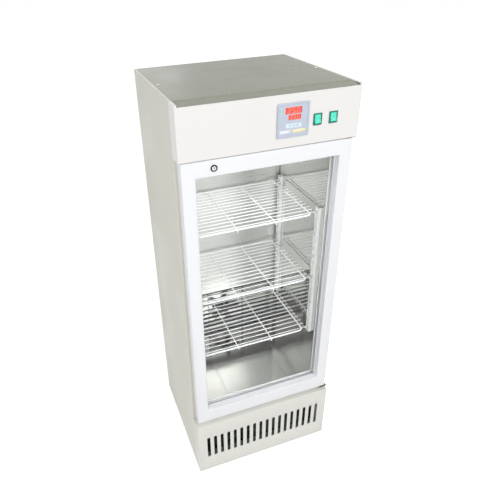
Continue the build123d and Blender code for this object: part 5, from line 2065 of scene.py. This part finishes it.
@dataclass
class ChamberFittings:
    """What warms, cools, stirs and lights the chamber."""

    fan_place: Point = (0.0, 0.1825, 0.436)
    fan_tip: float = 0.068
    motor_front: float = 0.2005
    grille_top: float = 0.550
    grille_depth: float = 0.008
    grille_rim: float = 0.008
    slats: int = 9
    slat_chord: float = 0.009
    slat_sheet: float = 0.0016
    slat_tilt: float = 35.0
    mullion: tuple[float, float] = (0.078, 0.081)
    tube_radius: float = 0.004
    tube_y: float = 0.2059
    tube_base: float = 0.660
    tube_pitch: float = 0.080
    tube_reach: float = 0.160
    tube_runs: int = 5
    loop_half: float = 0.120
    loop_inner: float = 0.0956
    loop_rows: tuple[float, float] = (0.576, 0.600)
    loop_planes: tuple[float, float] = (0.1905, 0.2122)
    loop_radius: float = 0.0032
    loop_bend: float = 0.009
    ferrule_profile: Rings = ((0.0042, 0.0), (0.0050, 0.0006), (0.0050, 0.0052), (0.0040, 0.006))
    probe_place: Point = (0.130, 0.1205, 1.180)
    probe_profile: Rings = (
        (0.0008, 0.0), (0.0018, 0.0004), (0.0025, 0.0016), (0.0025, 0.0380), (0.0021, 0.0386),
        (0.0021, 0.0400), (0.0025, 0.0406), (0.0025, 0.0490), (0.0066, 0.0497), (0.0070, 0.0502),
        (0.0070, 0.0517), (0.0025, 0.0518), (0.0025, 0.0620),
    )
    lamp_y: float = -0.1115
    lamp_half: float = 0.125
    lamp_reach: float = 0.017
    lamp_height: float = 0.010
    lamp_drop: float = 0.0146
    lamp_rib: float = 0.005

    def build(self) -> None:
        """Build the fan, the grille, the coils, the probe and the lamp."""
        FanRotor("stirring_fan", "circulation_fan", self.fan_place, self.fan_tip).build()
        place = (0.0, self.motor_front, self.fan_place[2])
        motor = motor_can("stirring_motor", place, AT.liner_back - AT.gap - self.motor_front)
        Bench.dress(motor, "cabinet", Surface.ZINC, ["circulation_fan_motor"])
        self.grille()
        self.cooling_coil()
        self.heating_loop()
        self.probe()
        self.lamp()

    def grille(self) -> None:
        """Set tilted slats and two mullions into a rim."""
        half = AT.half_chamber - 2 * AT.gap
        low, high = AT.chamber_floor + AT.gap, self.grille_top
        near, far = AT.duct, AT.duct + self.grille_depth
        rim = Bench.ring("grille_slats", (-half, half, low, high), self.grille_rim, near, far)
        Bench.bevel(rim, 0.0008, 2)
        pitch = (high - low - 2 * self.grille_rim) / self.slats
        middle, first = near + self.grille_depth / 2, low + self.grille_rim + pitch / 2
        size = (half - self.grille_rim + self.slat_sheet / 2, self.slat_sheet / 2)
        deep = self.slat_chord / 2
        slat = Bench.plate("slat", (0.0, first), size, middle - deep, middle + deep, self.slat_sheet * 0.3)
        Bench.turn(slat, self.slat_tilt, Axis.ACROSS, (0, middle, first))
        slats = Bench.repeat(slat, [(0, 0, pitch * index) for index in range(1, self.slats)])
        left, right = self.mullion
        corners = ((left, near + 0.001, low + 0.001), (right, far, high - 0.001))
        mullion = Bench.block("mullion", *corners, 0.0005)
        grille = Bench.join("grille_slats", [rim, slats, Bench.both_sides(mullion)])
        Bench.dress(grille, "cabinet", Surface.BLACK_PLASTIC, ["return_grille"])

    def cooling_coil(self) -> None:
        """Bend the cooling tube from side to side before its plate."""
        points = coil_line(0.0, self.tube_y, self.tube_base, self.tube_reach, self.tube_pitch, self.tube_runs)
        bend = self.tube_pitch / 2 - self.tube_radius
        coil = Bench.bent_bar("cooling_coil", points, self.tube_radius, bend, 16, 10)
        Bench.dress(coil, "cabinet", Surface.COPPER, ["evaporator_tube"])

    def heating_loop(self) -> None:
        """Bend the heating rod and turn a ferrule on each of its ends."""
        half, inner = self.loop_half, self.loop_inner
        (low, high), (near, far) = self.loop_rows, self.loop_planes
        points = [(-half, far, low), (-half, near, low), (half, near, low)]
        points += [(half, near, high), (-inner, near, high), (-inner, far, high)]
        rod = Bench.bent_bar("heating_loop", points, self.loop_radius, self.loop_bend, 16, 8)
        start_y = far - self.ferrule_profile[-1][1]
        ends = [
            Bench.turned("ferrule", (x, start_y, z), Axis.DEEP.way, self.ferrule_profile, 24)
            for x, z in ((-half, low), (-inner, high))
        ]
        Bench.dress(Bench.join("heating_loop", [rod, *ends]), "cabinet", Surface.STAINLESS_ROD, ["heater"])

    def probe(self) -> None:
        """Turn the probe with its rounded tip, crimp and flange."""
        probe = Bench.turned("probe", self.probe_place, Axis.DEEP.way, self.probe_profile, 24)
        Bench.dress(probe, "cabinet", Surface.STAINLESS_ROD, ["temperature_probe"])

    def lamp(self) -> None:
        """Mould the ribbed half-round cover under the lamp's tray and close its ends."""
        half, reach, rib = self.lamp_half, self.lamp_reach, self.lamp_rib
        top = AT.chamber_top - self.lamp_drop
        rings = [(reach * 0.94, 0.0)]
        for index in range(int(2 * half / rib)):
            at = index * rib
            rings += [(reach, at + 0.0006), (reach, at + rib - 0.0012), (reach * 0.95, at + rib - 0.0003)]
        rings.append((reach * 0.94, 2 * half))
        cover = Bench.turned("lamp_diffuser", (-half, self.lamp_y, top), Axis.ACROSS.way, rings, 48)
        Bench.edit(cover)
        centre = (0.0, self.lamp_y, top)
        bpy.ops.transform.resize(value=(1.0, 1.0, self.lamp_height / reach), center_override=centre)
        bpy.ops.mesh.bisect(plane_co=centre, plane_no=(0, 0, 1), use_fill=True, clear_outer=True)
        Bench.close(cover)
        Bench.dress(cover, "cabinet", Surface.OPAL, ["lamp_cover"])


# Cooling machine in the plinth

@dataclass
class CoolingUnit:
    """The compressor with its pipes, the condenser and its fan."""

    pot: Point = (0.130, 0.0785, 0.024)
    pot_radius: float = 0.074
    pot_profile: Rings = (
        (0.060, 0.003), (0.070, 0.008), (0.073, 0.018), (0.073, 0.078), (0.075, 0.080), (0.075, 0.087),
        (0.072, 0.089), (0.072, 0.122), (0.0695, 0.136), (0.061, 0.150), (0.046, 0.161), (0.026, 0.1668),
        (0.008, 0.168),
    )
    plate: Point = (0.086, 0.072, 0.003)
    # Lowest corner and highest corner, from the middle of the pot's foot
    cover_corners: tuple[Point, Point] = ((-0.095, -0.026, 0.030), (-0.066, 0.026, 0.076))
    cover_rim: float = 0.004
    cover_boss: float = 0.0015
    mount: tuple[float, float] = (0.074, 0.060)
    mount_profile: Rings = (
        (0.0108, 0.0), (0.012, 0.001), (0.012, 0.0045), (0.00864, 0.0068), (0.00864, 0.0094),
        (0.012, 0.0116), (0.012, 0.0148), (0.0108, 0.0158),
    )
    pipe_radius: float = 0.0028
    pipe_bend: float = 0.014
    pipe_y: float = 0.045
    pipe_rise: float = 0.095
    pipe_clear: float = 0.022
    pipe_sunk: float = 0.020
    pipe_overlap: float = 0.004
    stub_radius: float = 0.0026
    stub_bend: float = 0.01
    stub_corners: tuple[Point, ...] = ((0.03, -0.06, 0.06), (0.03, -0.095, 0.06), (0.03, -0.095, 0.115))
    coil_x: float = -0.120
    coil_y: float = -0.1785
    coil_base: float = 0.026
    coil_pitch: float = 0.040
    coil_reach: float = 0.120
    coil_radius: float = 0.004
    coil_runs: int = 5
    wires: int = 13
    wire_half: float = 0.096
    wire_past: float = 0.005
    wire_radius: float = 0.0008
    post_x: float = 0.080
    post_half: float = 0.013
    post_planes: tuple[float, float] = (-0.1745, -0.1730)
    post_top: float = 0.194
    fan_place: Point = (-0.120, -0.1555, 0.140)
    fan_tip: float = 0.088
    motor_gap: float = 0.018
    motor_depth: float = 0.046
    foot_half: float = 0.0196
    foot_sheet: float = 0.005
    leg_planes: tuple[float, float] = (0.023, 0.028)
    leg_drop: float = 0.014

    def build(self) -> None:
        """Build the compressor, its pipes, the condenser and its fan."""
        self.compressor()
        self.mounts()
        self.pipes()
        self.condenser()
        FanRotor("cooling_fan", "condenser_fan", self.fan_place, self.fan_tip).build()
        self.fan_motor()

    def compressor(self) -> None:
        """Turn the welded pot, set it on its plate and add the terminal cover."""
        x, y, z = self.pot
        pot = Bench.turned("pot", self.pot, Axis.UP.way, self.pot_profile, 64)
        wide, deep, sheet = self.plate
        low = z + AT.gap
        plate = Bench.block("plate", (x - wide, y - deep, low), (x + wide, y + deep, low + sheet), 0.0012)
        corners = [(x + across, y + deep, z + up) for across, deep, up in self.cover_corners]
        cover = Bench.block("terminal_cover", *corners, 0.004, 3)
        Bench.choose(cover, "FACE", lambda face: face.normal.x < -0.99)
        bpy.ops.mesh.inset(thickness=self.cover_rim)
        Bench.extrude((-self.cover_boss, 0, 0))
        Bench.mode("OBJECT")
        pot = Bench.join("compressor_pot", [pot, plate, cover])
        Bench.dress(pot, "cabinet", Surface.POT_PAINT, ["compressor"])

    def mounts(self) -> None:
        """Turn a waisted rubber mount and set one under each corner of the plate."""
        x, y, _ = self.pot
        across, deep = self.mount
        start = (x - across, y - deep, AT.machine_floor)
        mount = Bench.turned("rubber_mounts", start, Axis.UP.way, self.mount_profile, 28)
        mounts = Bench.repeat(mount, [(2 * across, 0, 0), (0, 2 * deep, 0), (2 * across, 2 * deep, 0)])
        Bench.dress(mounts, "cabinet", Surface.FOOT, ["compressor_mounts"])

    def pipes(self) -> None:
        """Bend the delivery pipe to the condenser and the pinched service stub."""
        x, y, z = self.pot
        side = x - self.pot_radius
        away, pipe_y, top = side - self.pipe_clear, y - self.pipe_y, z + self.pipe_rise
        end_z = self.coil_base + (self.coil_runs - 1) * self.coil_pitch
        start = (self.coil_x + self.coil_reach - self.pipe_overlap, self.coil_y, end_z)
        line = [start, (away, self.coil_y, end_z), (away, pipe_y, end_z), (away, pipe_y, top)]
        line.append((side + self.pipe_sunk, pipe_y, top))
        pipe = Bench.bent_bar("copper_pipes", line, self.pipe_radius, self.pipe_bend, 14, 8)
        line = [(x + across, y + deep, z + up) for across, deep, up in self.stub_corners]
        stub = Bench.bent_bar("stub", line, self.stub_radius, self.stub_bend, 14, 6)
        Bench.dress(Bench.join("copper_pipes", [pipe, stub]), "cabinet", Surface.COPPER)

    def condenser(self) -> None:
        """Bend the coil, weld wires across both of its sides and stand it on two posts."""
        x, y, base, radius = self.coil_x, self.coil_y, self.coil_base, self.coil_radius
        points = coil_line(x, y, base, self.coil_reach, self.coil_pitch, self.coil_runs)
        coil = Bench.bent_bar("wire_condenser", points, radius, self.coil_pitch / 2 - radius, 14, 8)
        stand = radius + self.wire_radius * 0.5
        length = (self.coil_runs - 1) * self.coil_pitch + 2 * self.wire_past
        start = (x - self.wire_half, y - stand, base - self.wire_past)
        wire = Bench.rod("wire", start, Axis.UP.way, self.wire_radius, length, 8, 0.0005, 0.6)
        pitch = 2 * self.wire_half / (self.wires - 1)
        wires = Bench.repeat(wire, [(pitch * index, 0, 0) for index in range(1, self.wires)])
        wires = Bench.repeat(wires, [(0, 2 * stand, 0)])
        near, far = self.post_planes
        posts = []
        for post_x in (x - self.post_x, x + self.post_x):
            low = (post_x - self.post_half, near, AT.machine_floor)
            posts.append(Bench.block("post", low, (post_x + self.post_half, far, self.post_top), 0.0004))
        condenser = Bench.join("wire_condenser", [coil, wires, *posts])
        Bench.dress(condenser, "cabinet", Surface.CONDENSER, ["condenser"])

    def fan_motor(self) -> None:
        """Set the motor on its folded foot."""
        x, y, z = self.fan_place
        front, floor = y + self.motor_gap, AT.machine_floor
        can = motor_can("cooling_motor", (x, front, z), self.motor_depth)
        left, right = x - self.foot_half, x + self.foot_half
        near, far = (front + plane for plane in self.leg_planes)
        leg = Bench.block("leg", (left, near, floor), (right, far, z - self.leg_drop), 0.0008)
        far = front + self.motor_depth
        foot = Bench.block("foot", (left, front, floor), (right, far, floor + self.foot_sheet), 0.0008)
        motor = Bench.join("cooling_motor", [can, leg, foot])
        Bench.dress(motor, "cabinet", Surface.ZINC, ["condenser_fan_motor"])


# Rear fittings

@dataclass
class RearFittings:
    """The cable gland at the foot of the back."""

    x: float = 0.205
    z: float = 0.054
    inner: float = 0.238
    nut_profile: Rings = ((0.0112, 0.0), (0.0121, 0.0008), (0.0121, 0.0042), (0.0112, 0.005))
    dome_profile: Rings = (
        (0.0105, 0.0003), (0.011, 0.0010), (0.011, 0.0085), (0.0102, 0.0115), (0.0082, 0.0134),
        (0.0066, 0.0140),
    )
    neck_radius: float = 0.008
    neck_length: float = 0.012
    bore_radius: float = 0.0045
    bore_start: float = 0.005
    bore_length: float = 0.030
    ribs: int = 12
    rib_place: float = 0.0109
    rib_half: tuple[float, float] = (0.0006, 0.0005)
    rib_planes: tuple[float, float] = (0.0012, 0.0088)

    def build(self) -> None:
        """Turn the gland's inner nut, its neck and its ribbed dome nut, and bore them."""
        way, start = Axis.DEEP.way, (self.x, self.inner, self.z)
        nut = Bench.turned("gland_nut", start, way, self.nut_profile, 6)
        neck = Bench.rod("neck", start, way, self.neck_radius, self.neck_length)
        dome = Bench.turned("dome", (self.x, AT.back, self.z), way, self.dome_profile)
        near, far = (AT.back + plane for plane in self.rib_planes)
        rib = Bench.plate("rib", (self.x, self.z + self.rib_place), self.rib_half, near, far, 0.0003)
        step, about = 360.0 / self.ribs, (self.x, 0, self.z)
        ribs = [Bench.turn(Bench.copy(rib), step * index, Axis.DEEP, about) for index in range(self.ribs)]
        bpy.data.objects.remove(rib)
        start = (self.x, self.inner - self.bore_start, self.z)
        for part in (nut, neck, dome):
            Bench.carve(part, [Bench.rod("bore", start, way, self.bore_radius, self.bore_length)])
        gland = Bench.join("cable_gland_nut", [nut, neck, dome, *ribs])
        Bench.dress(gland, "cabinet", Surface.BLACK_PLASTIC, ["cable_gland"])


# The finish of every solid, also of those that a detailed piece stands for

CARRIED = {
    Surface.CREAM_PAINT: ["hood"],
    Surface.PLINTH_SHADED_PAINT: ["vent_panel"],
    Surface.SIDE_SHADED_PAINT: ["side_panel_right", "side_panel_left", "back_panel"],
    Surface.COVER_PAINT: ["top_cover"],
    Surface.PAN_PAINT: ["base_frame", "machine_deck"],
    Surface.POT_PAINT: ["compressor"],
    Surface.LINER: ["liner_right", "liner_left"],
    Surface.DUCT: ["liner_back", "duct_plate"],
    Surface.LINER_FLAT: ["liner_floor", "liner_ceiling"],
    Surface.STAINLESS_ROD: ["heater", "temperature_probe", "shelf_bearers"],
    Surface.THROAT: ["throat_frame", "lamp_housing"],
    Surface.DOOR_WHITE: ["door_frame"],
    Surface.BEAD_WHITE: ["glazing_bead"],
    Surface.FOAM: ["insulation"],
    Surface.BLACK_PLASTIC: [
        "return_grille", "circulation_fan", "condenser_fan", "controller_case", "cable_gland"
    ],
    Surface.COPPER: ["evaporator_tube"],
    Surface.CONDENSER: ["condenser"],
    Surface.ALUMINIUM: ["evaporator_plate"],
    Surface.SPACER: ["glass_spacer"],
    Surface.ZINC: ["top_cover_screws", "circulation_fan_motor", "condenser_fan_motor", "lock_cam"],
    Surface.BRACKET: ["hinge_brackets"],
    Surface.CHROME: ["lock_plug"],
    Surface.LOCK_SHELL: ["lock_housing"],
    Surface.WIRE_COAT: ["shelf_lower", "shelf_middle", "shelf_upper"],
    Surface.RACK_PAINT: ["pilasters"],
    Surface.OPAL: ["lamp_cover"],
    Surface.BEZEL: ["controller_bezel"],
    Surface.DISPLAY: ["controller_displays"],
    Surface.KEY: ["controller_key_1", "controller_key_2", "controller_key_3", "controller_key_4"],
    Surface.SWITCH_BODY: ["switch_housing_power", "switch_housing_lamp"],
    Surface.SWITCH_FACE: ["switch_rocker_power", "switch_rocker_lamp"],
    Surface.GLASS: ["outer_glass", "inner_glass"],
    Surface.GASKET: ["door_gasket"],
    Surface.FOOT: ["foot_pads", "compressor_mounts"],
    Surface.BRASS: ["hinge_bushes"],
}


def finish_solids() -> None:
    """Give every solid its finish."""
    bare = set(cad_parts)
    for surface, nodes in CARRIED.items():
        for node in nodes:
            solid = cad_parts[node]
            if not solid.material_slots:
                solid.data.materials.append(surface.material())
            for slot in solid.material_slots:
                slot.material = surface.material()
            LOG.info("%s has the finish %s", node, surface.value.name)
        bare -= set(nodes)
    if bare:
        LOG.warning("no finish: %s", sorted(bare))


def main() -> None:
    """Build the studio and the incubator, piece by piece."""
    Studio().build()
    finish_solids()
    for part in (Racking(), Casing(), Door(), DoorLock(), Controller()):
        part.build()
    for name, x in (("power", 0.1385), ("lamp", 0.189)):
        RockerSwitch(name, x).build()
    for part in (ChamberFittings(), CoolingUnit(), RearFittings()):
        part.build()


if __name__ == "__main__":
    main()
